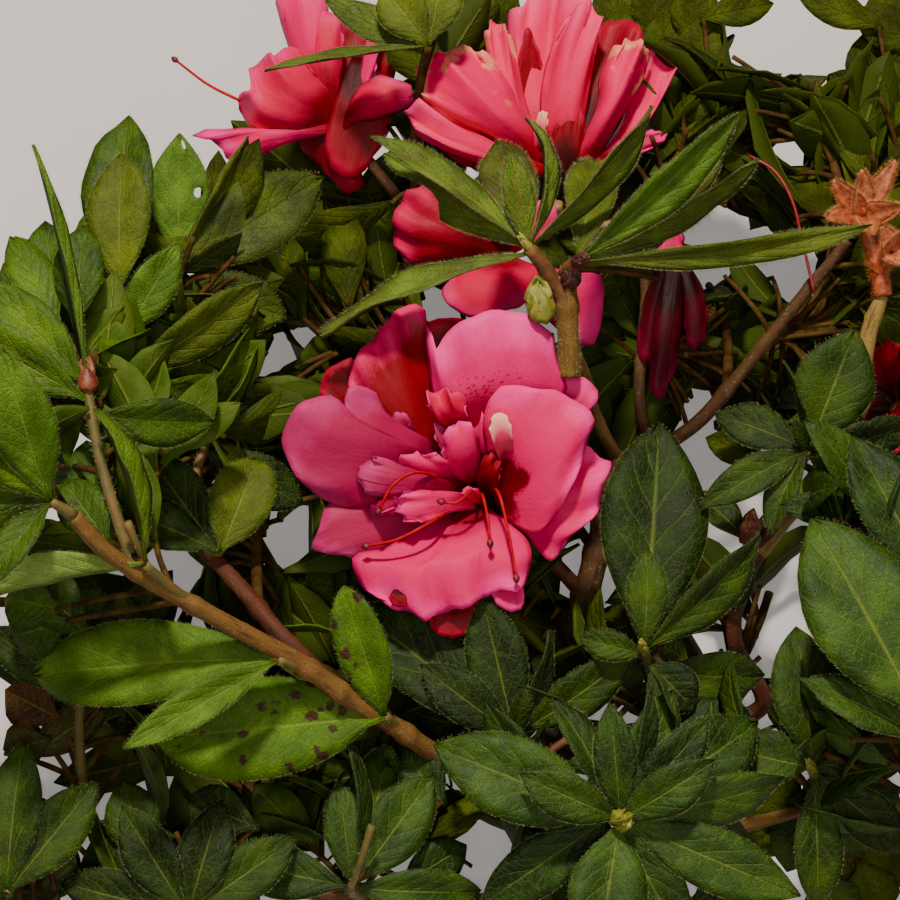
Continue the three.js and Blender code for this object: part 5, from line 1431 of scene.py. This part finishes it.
# How single leaves that show are bent, bitten or twisted, and which green some take, by shoot and row;
# the light green on some of them is painted light
LEAF_LOOKS = {
    ("top_left", 0): {"tone": YOUNG, "fold": 22, "arch": 12, "curl": 6, "twist": 6},
    ("top_left", 1): {"tone": YOUNG, "fold": 16, "arch": 10, "curl": 4, "bite": (0.5, 0.87, 0.8, -1)},
    ("top_left", 2): {"tone": YOUNG, "fold": 26, "arch": 16, "curl": 10, "twist": -14,
                      "ripple": 0.7, "ripples": 2.2},
    ("top_left", 5): {"fold": 30, "arch": -8, "curl": 70},
    ("top_left", 6): {"tone": YOUNG, "fold": 30, "arch": 6, "curl": 8, "twist": 10, "ripple": 0.5},
    # The light green here is painted light on a leaf that the lamps leave dark
    ("top_right", 1): {"tone": LIGHT_AND_PAINTED_LIGHT, "fold": 24, "arch": 6, "curl": 6},
    ("top_right", 2): {"tone": YOUNG, "fold": 24, "arch": 14, "curl": 10, "ripple": 0.5},
    ("top_right", 0): {"tone": OLIVE, "fold": 20},
    ("top_right", 4): {"tone": OLIVE, "fold": 24, "arch": -6, "curl": 26, "twist": 46,
                       "ripple": 0.9, "ripples": 1.8},
    ("left_front", 0): {"tone": LIGHT_AND_PAINTED_LIGHT},
    ("left_front", 3): {"tone": OLIVE},
    ("left_middle", 0): {"fold": 34, "arch": 4, "curl": 2, "twist": 4, "tone": LIGHT_AND_PAINTED_LIGHT},
    ("limb_outer", 0): {"fold": 30, "arch": 16, "curl": 8, "tone": PALE},
    ("limb_outer", 1): {"fold": 34, "arch": 10},
    # The light green here is painted light on a leaf in the key light's shadow
    ("limb_middle", 0): {"tone": LIGHT_AND_PAINTED_LIGHT},
    ("limb_middle", 1): {"tone": LIGHT_AND_PAINTED_LIGHT, "fold": 30, "arch": 8},
    ("limb_fork", 0): {"tone": YOUNG, "fold": 6, "arch": 10, "curl": 4, "twist": 0, "camber": 0.24},
    ("limb_fork", 2): {"tone": YOUNG},
    ("back_left", 0): {"tone": LIGHT_AND_PAINTED_LIGHT, "fold": 6, "arch": 6, "curl": 0, "twist": 0},
    ("centre_right", 0): {"fold": 10, "arch": 16, "curl": 10},
    ("centre_right", 1): {"tone": YOUNG},
    ("upper_left", 0): {"tone": OLIVE},
    ("back_left", 1): {"tone": OLIVE, "fold": 26},
    ("upper_left", 2): {"tone": LIGHT_AND_PAINTED_LIGHT},
    ("upper_left", 7): {"tone": OLIVE},
    ("top_leaf", 1): {"tone": OLIVE},
    ("top_leaf", 2): {"tone": OLIVE},
    ("top_leaf", 0): {"tone": OLIVE, "fold": 20, "arch": 4, "curl": 0, "twist": 0},
    ("top_leaf", 3): {"arch": 4, "curl": 0},
    ("upper_left", 4): {"tone": LIGHT_AND_PAINTED_LIGHT},
    ("red_spur", 0): {"tone": OLIVE},
    ("right", 0): {"fold": 10, "arch": 10},
}

HOLED_LEAF = ("back_left", 0)
BROAD_LEAVES = [("limb_middle", 0), ("limb_fork", 0), ("limb_fork", 2), ("red_spur", 0), ("centre", 0)]

# Leaves hung in the frame on short twigs from a shoot, for each shoot: the base and the tip
# in steps right and down, each with its nearness, the width and the turn
TRACED_LEAVES = {
    "back_top": [[600, 235, -60, 545, 175, -54, 13, 20], [610, 240, -62, 612, 160, -58, 14, 0],
        [620, 235, -60, 560, 235, -56, 13, 10], [640, 215, -62, 580, 140, -60, 15, 0],
        [650, 90, -60, 612, 8, -58, 12, 0], [660, 95, -60, 668, 10, -56, 13, 10],
        [680, 90, -58, 720, 14, -56, 13, 0], [650, 100, -64, 620, 60, -62, 12, 0],
        [575, 225, -62, 528, 165, -60, 13, 0], [560, 240, -64, 542, 158, -62, 13, 10],
        [590, 300, -60, 535, 225, -58, 14, 0], [640, 60, -64, 600, -20, -60, 13, 0],
        [660, 50, -62, 650, -30, -58, 13, 0], [690, 50, -60, 700, -20, -56, 13, 0],
        [700, 18, -56, 776, 0, -54, 9, 0]],
    "top_leaf": [[430, 90, -60, 400, 10, -56, 15, 0], [440, 90, -62, 452, 5, -58, 16, 0],
        [440, 95, -62, 494, 30, -60, 14, 0], [436, 100, -64, 470, 70, -62, 13, 0],
        [500, 40, -64, 490, -20, -60, 13, 0], [470, 40, -62, 478, -25, -60, 13, 0]],
    "right_corner": [[880, 110, -60, 866, 30, -58, 14, 0], [890, 110, -62, 920, 20, -60, 14, 0],
        [880, 120, -58, 830, 70, -58, 12, 0], [900, 60, -60, 885, -20, -58, 14, 0],
        [920, 50, -60, 856, 8, -58, 12, 0], [884, 28, -56, 800, -8, -54, 9, 0]],
    "back_middle": [[600, 330, -62, 560, 262, -60, 13, 0]],
    "left_middle": [[75, 330, 18, 80, 219, 14, 11, 0], [60, 330, 18, 8, 226, 14, 10, 20],
        [50, 330, 10, 0, 260, 8, 12, 0], [60, 320, 8, 40, 215, 4, 12, 0], [60, 330, 2, 10, 232, 0, 12, 0],
        [60, 340, 0, -8, 300, 0, 13, 0]],
    "limb_outer": [[110, 545, 30, 60, 478, 26, 11, 0], [120, 560, 20, 78, 486, 14, 12, 0],
        [100, 520, 22, 84, 436, 18, 11, 10], [60, 610, 10, 0, 598, 8, 13, 0],
        [70, 620, 4, 4, 640, 0, 13, 0]],
    "limb_middle": [[90, 640, 4, 22, 566, 0, 13, 0]],
    "upper_left": [[118, 290, -4, 98, 190, -8, 15, 0]],
    "back_left": [[200, 260, -24, 262, 140, -18, 11, 20], [236, 262, -30, 238, 150, -28, 12, 0],
        [216, 252, -28, 217, 148, -26, 8, 0], [224, 262, -30, 186, 262, -26, 7, 0]],
    "left_edge": [[60, 720, -4, 0, 690, -6, 12, 0], [50, 740, -6, 0, 752, -8, 11, 0]],
    "low_left": [[260, 830, 0, 184, 798, -4, 12, 0], [255, 850, -4, 198, 836, -6, 12, 0],
        [146, 868, -6, 120, 780, -8, 13, 0]],
    "bottom_front": [[700, 880, 0, 792, 902, -4, 13, 0], [690, 905, -4, 762, 868, -6, 13, 0],
        [600, 778, -4, 572, 742, -8, 8, 0]],
    "right_low": [[860, 860, -14, 880, 918, -16, 14, 0], [820, 870, -12, 842, 928, -14, 14, 0],
        [752, 826, -14, 802, 782, -12, 11, 0], [812, 780, -6, 790, 880, -8, 13, 0],
        [820, 780, -8, 870, 860, -8, 14, 0], [826, 770, -8, 905, 830, -8, 14, 0],
        [800, 790, -14, 750, 860, -14, 13, 0], [830, 800, -14, 840, 905, -14, 15, 0],
        [840, 820, -16, 910, 890, -16, 14, 0]],
    "right": [[772, 462, -14, 704, 436, -18, 8, 0], [776, 476, -16, 716, 484, -20, 7, 0]],
    "low_corner": [[128, 905, -6, 88, 838, -8, 12, 0]],
    "low_middle": [[398, 886, -6, 470, 846, -10, 11, 0], [446, 806, -8, 402, 752, -10, 11, 0]],
    "centre_right": [[690, 662, -12, 652, 640, -14, 8, 0]],
}

# Tip buds that are not green, and the buds beside the stub: their place, the way they point
# as [clock, forward], radius, length and finish
BUD_FINISHES = {"bud_spur": RED_BUD, "left_middle": RED_BUD, "top_right": PURPLE_BUD}
SIDE_BUDS = [
    ((541, 312, -4), (-8, 16), 4.6, 11, GREEN_BUD),
    ((570, 280, -3), (4, 50), 3.4, 7, PURPLE_BUD),
    ((886, 762, 6), (20, 20), 2.6, 7, RED_BUD),
    ((224, 694, 8), (30, 10), 1.8, 4, RED_BUD),
]

# Petioles and thin twigs that show: the finish, the radius and the places along them
STALKS = [
    (GREEN_STEM, 0.8, [(126, 522, 36), (136, 545, 34), (148, 570, 29)]),
    (GREEN_STEM, 0.8, [(372, 826, 6), (362, 858, 5), (350, 892, 0)]),
    (ORANGE_STEM, 1.1, [(500, 742, -2), (540, 755, -3), (578, 734, -4)]),
    (BROWN_STEM, 1.0, [(-10, 602, -6), (22, 604, -8), (56, 614, -12)]),
    (GREEN_STEM, 0.8, [(655, 655, -6), (672, 690, -8), (690, 716, -14)]),
    (ORANGE_STEM, 0.9, [(840, 600, -14), (820, 640, -16), (792, 700, -20)]),
]

# Hairs on the limbs that show: radius, count and reach
HAIRY_LIMBS = [("top_stub", 2.3, 1500, 1.2), ("spent_limb", 2, 300, 0.5), ("left_limb", 2, 900, 0.4)]


def within(points, low, high):
    """Whether all of the points lie in the box from low to high."""
    return bool((points >= low).all() and (points <= high).all())


def grow_shoot(foliage, name, seed):
    """A shoot's stem, tip bud, leaves given one by one, leaves by rule and finer twigs."""
    _, _, (count, lean), bud, green, turned_by_hand = SHOOTS[name]
    line = lines[name]
    dice = Dice(seed)
    shy = Dice(seed + FINER_SEED)
    shown = green != "shade"
    twigs = SHOWN_TWIGS if shown else SHADE_TWIGS
    low, high = [np.array(corner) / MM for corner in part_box(name)]
    low, high = low - twigs["margin"], high + twigs["margin"]
    low, high = np.maximum(low, plant_low), np.minimum(high, plant_high)
    stem = (ORANGE_STEM if name in STOUT_STEMS else GREEN_STEM) if shown else BROWN_STEM
    foliage.add_stem(line, STOUT_STEMS.get(name, SHOOT_RADIUS), shy, stem, STEM_HAIRS if shown else 0)
    if bud:
        foliage.add_bud(line.at(1), line.lie(1), *bud, shy, BUD_FINISHES.get(name, GREEN_BUD))
    for row, (along, clock, forward, length, width, turn) in enumerate(turned_by_hand):
        axis = heading(clock, forward)
        leaf = (line.at(along), axis, square_to(axis, NEAR, turn), length, width, shy.roll(0, 0.9))
        sheet = broad_leaf if (name, row) in BROAD_LEAVES else fine_leaf
        if (name, row) == HOLED_LEAF:
            sheet = holed_leaf
        hairs = int(length * (TOP_LEAF_HAIRS if name.startswith("top_") else LEAF_HAIRS))
        foliage.add_leaf(sheet, name, leaf, shy, hairs, LEAF_LOOKS.get((name, row), NO_LOOKS))
    for leaf in whorl(line, count, dice, LEAF_LENGTHS):
        base, axis, _, length, _, _ = leaf
        ends = np.array([base + axis * length * share for share in (0.3, 0.65, 1)])
        clear = clear_of_blooms(base, axis, length) and not hides_bloom(ends)
        if clear and np.dot(axis, NEAR) <= lean:
            foliage.add_leaf(plain_leaf, name, leaf, shy, by_rule=True)
    grow_finer(foliage, name, line, (low, high), twigs, shy)


def grow_finer(foliage, name, line, reach, twigs, dice):
    """Carries the shoot on to finer twigs and smaller leaves inside its own reach."""
    low, high = reach
    axis = line.lie(0.6)
    start = square_to(axis, NEAR + 0.2 * UP)
    deepest = np.dot(line.at(1) - FACE_MIDDLE, NEAR) + twigs["depth"]
    for i in range(twigs["count"]):
        along = 0.1 + 0.9 * (i + 0.5) / twigs["count"]
        out = turned(start, axis, GOLDEN_ANGLE * i + dice.roll(-TWIG_STRAY, TWIG_STRAY))
        way = leant(axis, out, dice.roll(*TWIG_SPLAYS))
        foot = line.at(along)
        end = foot + way * dice.roll(*TWIG_LENGTHS)
        twig = bow(foot, (foot + end) / 2 + axis * TWIG_BEND, end)
        if not within(twig.points, low, high) or not leaves_sky(twig.points[::6]):
            continue
        grown = 0
        for leaf in whorl(twig, TWIG_LEAVES, dice, twigs["lengths"]):
            base, leaf_axis, _, length, _, _ = leaf
            ends = np.array([base + leaf_axis * length * share for share in (0.25, 0.5, 0.75, 1)])
            if not within(ends, low, high) or not clear_of_blooms(base, leaf_axis, length):
                continue
            if ((ends - FACE_MIDDLE) @ NEAR).max() > deepest or hides_bloom(ends):
                continue
            foliage.add_leaf(twigs["leaf"], name, leaf, dice, by_rule=True)
            grown += 1
        if grown:
            foliage.add_stem(twig, TWIG_RADIUS, dice, BROWN_STEM)


def add_traced_leaf(foliage, home, base, tip, width, turn):
    """A leaf from base to tip, on a twig from the nearest place of its shoot's stem."""
    base, tip = traced(*base), traced(*tip)
    dice = Dice(int(abs(base[0] * 10) + abs(tip[1])) + 3)
    axis = unit(tip - base)
    length = np.linalg.norm(tip - base)
    looks = {"arch": 10 + dice.roll(0, 10), "curl": dice.roll(0, 10), "twist": dice.roll(-14, 14)}
    leaf = (base, axis, square_to(axis, NEAR, turn), length, width, dice.roll(0.2, 0.9))
    foliage.add_leaf(plain_leaf, home, leaf, dice, looks=looks)
    stem = lines[home].points
    foot = stem[np.argmin(np.linalg.norm(stem - base, axis=1))]
    if np.linalg.norm(base - foot) > 1:
        bend = (foot + base) / 2 + axis * TWIG_BEND - NEAR * TWIG_BEND
        foliage.add_stem(bow(foot, bend, base + axis), 0.6, dice, BROWN_STEM)


def make_foliage():
    foliage = Foliage()
    for seed, name in enumerate(SHOOTS, FIRST_SEED):
        grow_shoot(foliage, name, seed)
    for home, leaves in TRACED_LEAVES.items():
        for leaf in leaves:
            add_traced_leaf(foliage, home, leaf[:3], leaf[3:6], *leaf[6:])
    for place, faces, radius, length, finish in SIDE_BUDS:
        foliage.add_bud(traced(*place), heading(*faces), radius, length, Dice(int(place[0])), finish)
    for finish, radius, places in STALKS:
        line = curve_through([traced(*place) for place in places], 8)
        foliage.add_stem(line, radius, Dice(int(places[0][0] + 50)), finish, STALK_HAIRS)
    for limb, radius, count, reach in HAIRY_LIMBS:
        add_line_hairs(foliage.hairs["stem_hairs"], lines[limb], radius, count, reach)
    foliage.make_pieces()


THROAT_RING = 1.6
PEDICEL_RADIUS = 1.1
PEDICEL_BEND = 8
PEDICEL_COLOURS = [(128, 112, 58), (150, 84, 56)]
PETAL_THICKNESS = 0.35
PETAL_WAVES = [2.2, 3.4]
MARGIN_RUFFLE = 0.7
FINE_RUFFLE = 0.25
RIM_CRINKLE = 1.4
LONG_FOLD = 0.24
LONG_FOLDS = 15


def bloom_frame(name):
    """A bloom's middle, the way it faces, the way up on it, and its stalk's line."""
    throat, faces, source, _ = BLOOMS[name]
    centre = spot(throat)
    front = heading(*faces)
    up = square_to(front, NEAR if abs(np.dot(front, UP)) > 0.9 else UP)
    foot = lines[source[0]].at(source[1])
    return centre, front, up, bow(foot, centre - front * PEDICEL_BEND, centre)


def add_petal(pile, centre, front, up, petal, dice, finish):
    """A petal by rule, from the throat's ring out and back from the way the bloom faces."""
    clock, length, width, opening, arch, fold = petal
    outward = turned(up, front, -clock)
    axis = leant(front, outward, opening)
    points = bent(
        small_petal, centre + outward * THROAT_RING, axis, -square_to(axis, outward), length, width,
        fold=fold, arch=arch, curl=dice.roll(-12, 12), twist=dice.roll(-10, 10), camber=-0.08, ripple=1.1,
        ripples=dice.roll(*PETAL_WAVES), phase=dice.roll(*PHASES), crease=0.3, thickness=0.4)
    pile.add(points, small_petal.faces, small_petal.places, finish)


def hung(sheet, petal, dice):
    """A petal's points, hung between its traced margins and rim, with two skins."""
    _, left, rim, right, nears, bulge, ruffle = petal
    claw, first, middle, last = nears
    edges = [curve_through([(x, y, 0) for x, y in zip(edge[::2], edge[1::2])], 8)
             for edge in (left, right, left[-2:] + rim + right[-2:])]
    v = np.linspace(0, 1, sheet.rows)[:, None, None]
    u = np.linspace(0, 1, sheet.columns)[None, :, None]
    side_a, side_b = [edge.at(v[:, 0, 0])[:, None] for edge in edges[:2]]
    far = edges[2].at(u[0, :, 0])[None]
    foot = side_a[:1] * (1 - u) + side_b[:1] * u
    corners = (1 - v) * foot + v * (side_a[-1:] * (1 - u) + side_b[-1:] * u)
    skin = side_a * (1 - u) + side_b * u + foot * (1 - v) + far * v - corners
    v, u = v[:, :, 0], u[:, :, 0]
    rim_near = first * (1 - u) * (1 - 2 * u) + 4 * middle * u * (1 - u) + last * u * (2 * u - 1)
    phase, waves = dice.roll(*PHASES), dice.roll(*PETAL_WAVES)

    def ripple(along, times, shift):
        return np.sin(2 * pi * times * waves * along + shift * phase)

    wave = (v ** 3 * ripple(u, 1, 1) + MARGIN_RUFFLE * v * np.abs(2 * u - 1) ** 3 * ripple(v, 1, 2)
            + FINE_RUFFLE * v ** 4 * ripple(u, 2.1, 3))
    fold = (LONG_FOLD * v * (1 - 0.3 * v) * np.sin(LONG_FOLDS * u + phase + 3 * v)
            * np.sin(4 * u + 5 * v + phase))
    crinkle = ruffle * RIM_CRINKLE * v ** 3
    skin[..., 0] += crinkle * ripple(u, 1.3, 2)
    skin[..., 1] += crinkle * ripple(u, 1.8, 3)
    near = (claw + (rim_near - claw) * np.sin(v * pi / 2) ** 0.8
            + bulge * np.sin(pi * v) * np.sin(pi * u) + ruffle * wave + fold)
    grid = traced(skin[..., 0], skin[..., 1], near)
    out = units(np.cross(np.gradient(grid, axis=1), np.gradient(grid, axis=0)), NO_WIDTH)
    half = out * PETAL_THICKNESS / 2
    skins = [grid + half, grid - half] if sheet.lift[0] > 0 else [grid - half, grid + half]
    return np.concatenate([skin.reshape(-1, 3) for skin in skins])


def add_stamen(pile, places):
    """A slender filament with an anther at its tip."""
    line = curve_through([traced(*place) for place in places], 8)
    add_tube(pile, line, lambda along: 0.44 - 0.1 * along, STAMEN_MESH, finish=FILAMENT)
    tip, lie = line.at(1), line.lie(1)
    anther = Line([tip - lie * 0.4, tip + lie * 0.6, tip + lie * 1.6])
    add_tube(pile, anther, lambda along: 0.75 * sin(pi * (0.12 + 0.8 * along)), ANTHER_MESH, finish=ANTHER)


# The stamens and the left bloom's style, as places in the frame with their nearness
STAMENS = [
    [(484, 490, -14), (498, 492, -3), (508, 530, 1.5), (516, 576, 2)],
    [(480, 492, -14), (484, 500, -2), (488, 520, 1), (490, 541, 1.5)],
    [(478, 490, -14), (470, 492, 0), (456, 503, 2), (444, 502, 2)],
    [(450, 480, -10), (412, 473, 1), (392, 486, 3), (379, 510, 2)],
    [(450, 510, -8), (428, 524, 1), (396, 540, 1), (368, 546, 0)],
    [(240, 100, -56), (208, 84, -56), (176, 60, -57)],
]

# Petal colours: throat, middle and rim, how far the throat's colour reaches and how softly it ends,
# and where the rim's begins. The throat's colour is partly the petal's own and partly painted shade.
PETAL_COLOURS = {
    "pink": [(130, 0, 34), (206, 4, 84), (224, 40, 118), 0.3, 0.14, 0.84],
    "blotch": [(120, 0, 34), (204, 6, 90), (226, 52, 126), 0.36, 0.1, 0.8],
    "mauve": [(110, 0, 30), (148, 20, 64), (172, 46, 96), 0.3, 0.12, 0.8],
    # Next, the painted shadow of the leaves above on one petal: deep crimson, with the rim painted brighter
    # against the shade
    "shaded": [(112, 0, 16), (122, 0, 22), (204, 22, 86), 0.4, 0.2, 0.84],
    # Next, pink with a sharply bounded crimson throat: a painted shadow cast by a petaloid
    "deep_pink": [(104, 0, 22), (206, 4, 84), (226, 42, 120), 0.4, 0.03, 0.84],
    "coral": [(140, 0, 24), (210, 6, 74), (222, 44, 100), 0.3, 0.14, 0.8],
    "scarlet": [(90, 0, 20), (146, 0, 38), (184, 8, 66), 0.4, 0.14, 0.84],
    # Next, dark crimson: partly the petals' own deep red, partly painted shade on pieces inside folds and
    # throats
    "red": [(60, 0, 10), (116, 0, 22), (150, 0, 42), 0.5, 0.14, 0.84],
    "salmon": [(120, 0, 26), (190, 4, 60), (208, 40, 96), 0.34, 0.14, 0.84],
    "spent": [(150, 0, 34), (210, 10, 76), (222, 116, 96), 0.3, 0.14, 0.93],
    "cream": [(150, 0, 44), (208, 60, 90), (226, 160, 130), 0.2, 0.1, 0.6],
    "maroon": [(36, 0, 6), (76, 2, 22), (116, 6, 46), 0.5, 0.14, 0.84],
}


def petal_finishes():
    return [petal_finish(name, *[tint(*colour) for colour in look[:3]], *look[3:])
            for name, look in PETAL_COLOURS.items()]


def make_bloom(name, dice, finishes):
    """A bloom's petals, hung where they show and by rule elsewhere, and its stalk."""
    centre, front, up, pedicel = bloom_frame(name)
    order = list(PETAL_COLOURS)
    petals = Pile()
    for petal in TRACED_PETALS.get(name, []):
        wide = len(petal[2]) > 6 or name == "bloom_top"
        sheet = large_petal if wide else small_petal
        petals.add(hung(sheet, petal, dice), sheet.faces, sheet.places, order.index(petal[0]))
    if name == "bloom_right":
        for petal in RIGHT_PETALS:
            add_petal(petals, centre, front, up, petal, dice, order.index("red"))
    slot = "faded_petal" if name == "bloom_faded" else "petal"
    petals.piece(name + "_petals", finishes, slot, [name])
    stalk = Pile()
    add_tube(stalk, pedicel, lambda along: PEDICEL_RADIUS * (1 + 0.5 * along ** 4), STALK_MESH)
    stalk.piece(name + "_stalk", [plain_finish(name + "_pedicel", *PEDICEL_COLOURS, 300)], "leaf")


def make_blooms():
    """Every bloom, and the stamens and style that stand out of them."""
    finishes = petal_finishes()
    for seed, name in enumerate(BLOOMS, BLOOM_SEED):
        make_bloom(name, Dice(seed), finishes)
    stamens = Pile()
    for places in STAMENS:
        add_stamen(stamens, places)
    stamens.piece("stamens", small_finishes("filament", "anther"), "petal")


# The spent flower's long style, as places in the frame with their nearness, and its lobes
SPENT_STYLE = [(750, 155, -30), (775, 170, -28), (793, 200, -26), (802, 235, -26), (815, 292, -26)]
STYLE_RADIUS = 0.36
LOBE_HAIRS = 520
LOBE_WIDTH = 5.4


def make_spent_flower():
    """The hairy star and cup that stay when the petals fall, on their stalks."""
    source, star_place, cup_place, star, crown = SPENT_FLOWER
    main = stem_line(source, star_place)
    fork = Line([main.at(0.3), spot(cup_place)])
    pile = Pile()
    for line in (main, fork):
        add_tube(pile, line, lambda along: 2.2 - 0.5 * along, SPENT_STALK_MESH)
        add_line_hairs(pile, line, 2.1, 700, 1.3, CALYX_HAIR)
    knob = Line([main.at(1) - NEAR, main.at(1) + NEAR * 1.4 + UP * 0.4, main.at(1) + NEAR * 3 + UP])
    add_tube(pile, knob, lambda along: 1.7 * (1 - along) ** 0.5, KNOB_MESH)
    dice = Dice(SPENT_SEED)
    for centre, rows in ((main.at(1), star), (fork.at(1), crown)):
        for clock, forward, length in rows:
            axis = heading(clock + dice.roll(-6, 6), forward + dice.roll(-6, 14))
            face = square_to(axis, NEAR, dice.roll(-20, 20))
            points = bent(lobe, centre, axis, face, length, LOBE_WIDTH, fold=20, arch=dice.roll(-10, 30),
                          twist=dice.roll(-20, 20), thickness=0.5)
            pile.add(points, lobe.faces, lobe.places, PALE_CALYX if dice.roll(0, 1) > 0.6 else CALYX)
            add_sheet_hairs(pile, lobe, points, axis, LOBE_HAIRS, int(clock + 400), 1.8, 1.5, CALYX_HAIR)
    style = curve_through([traced(*place) for place in SPENT_STYLE], 10)
    add_tube(pile, style, lambda along: STYLE_RADIUS, STYLE_MESH, finish=RED_STYLE)
    finishes = small_finishes("calyx", "pale_calyx", "red_style", "calyx_hair")
    pile.piece("spent_flower_calyx", finishes, "spent_calyx", ["spent_flower"])


ROOM_LIGHT = 0.13
FLOOR_SIZE = 20
FLOOR_DROP = 0.0004
FLOOR_GLOW = 0.25
FLOOR_COLOURS = [(166, 157, 152), (170, 161, 156)]

# Lights: the place from the face's middle, the size in metres, the power and the colour
LIGHTS = [
    ("key", [-60, 640, 620], 0.09, 13.2, (1.0, 0.95, 0.86)),
    ("fill", [40, -60, 900], 0.4, 4, (1.0, 0.97, 0.93)),
]


def make_floor():
    """A plain pale floor, with a small glow so that gaps between the leaves read pale."""
    clear_selection()
    bpy.ops.mesh.primitive_plane_add(size=FLOOR_SIZE, location=(0, 0, -FLOOR_DROP))
    floor = bpy.context.object
    floor.name = "floor"
    glow = {"Emission Color": (1, 0.95, 0.92, 1), "Emission Strength": FLOOR_GLOW}
    floor.data.materials.append(plain_finish("pale_floor", *FLOOR_COLOURS, 3, 0.8, glow))


def make_lights():
    """Soft round lamps that look at the bough's middle, in an evenly lit room."""
    for name, place, size, power, colour in LIGHTS:
        lamp = bpy.data.lights.new(name, "AREA")
        lamp.shape = "DISK"
        lamp.size = size
        lamp.energy = power
        lamp.color = colour
        light = placed(name, lamp)
        where = spot(place) * MM
        light.location = where
        light.rotation_mode = "QUATERNION"
        light.rotation_quaternion = Vector(spot([0, 0, -20]) * MM - where).to_track_quat("-Z", "Y")
    world = bpy.data.worlds.new("soft_room")
    world.use_nodes = True
    room = world.node_tree.nodes["Background"].inputs
    room["Color"].default_value = (1, 0.97, 0.93, 1)
    room["Strength"].default_value = ROOM_LIGHT
    bpy.context.scene.world = world


def make_camera():
    """The photograph's view, square to the face."""
    lens = bpy.data.cameras.new("camera")
    lens.lens = LENS
    lens.sensor_width = SENSOR
    lens.clip_start = NEAREST_SEEN
    camera = placed("camera", lens)
    camera.location = spot([0, 0, CAMERA_REACH]) * MM
    camera.rotation_euler = (FACE_TILT, 0, 0)
    bpy.context.scene.camera = camera


make_floor()
make_lights()
make_camera()
make_limbs()
make_cut_end()
make_foliage()
make_blooms()
make_spent_flower()
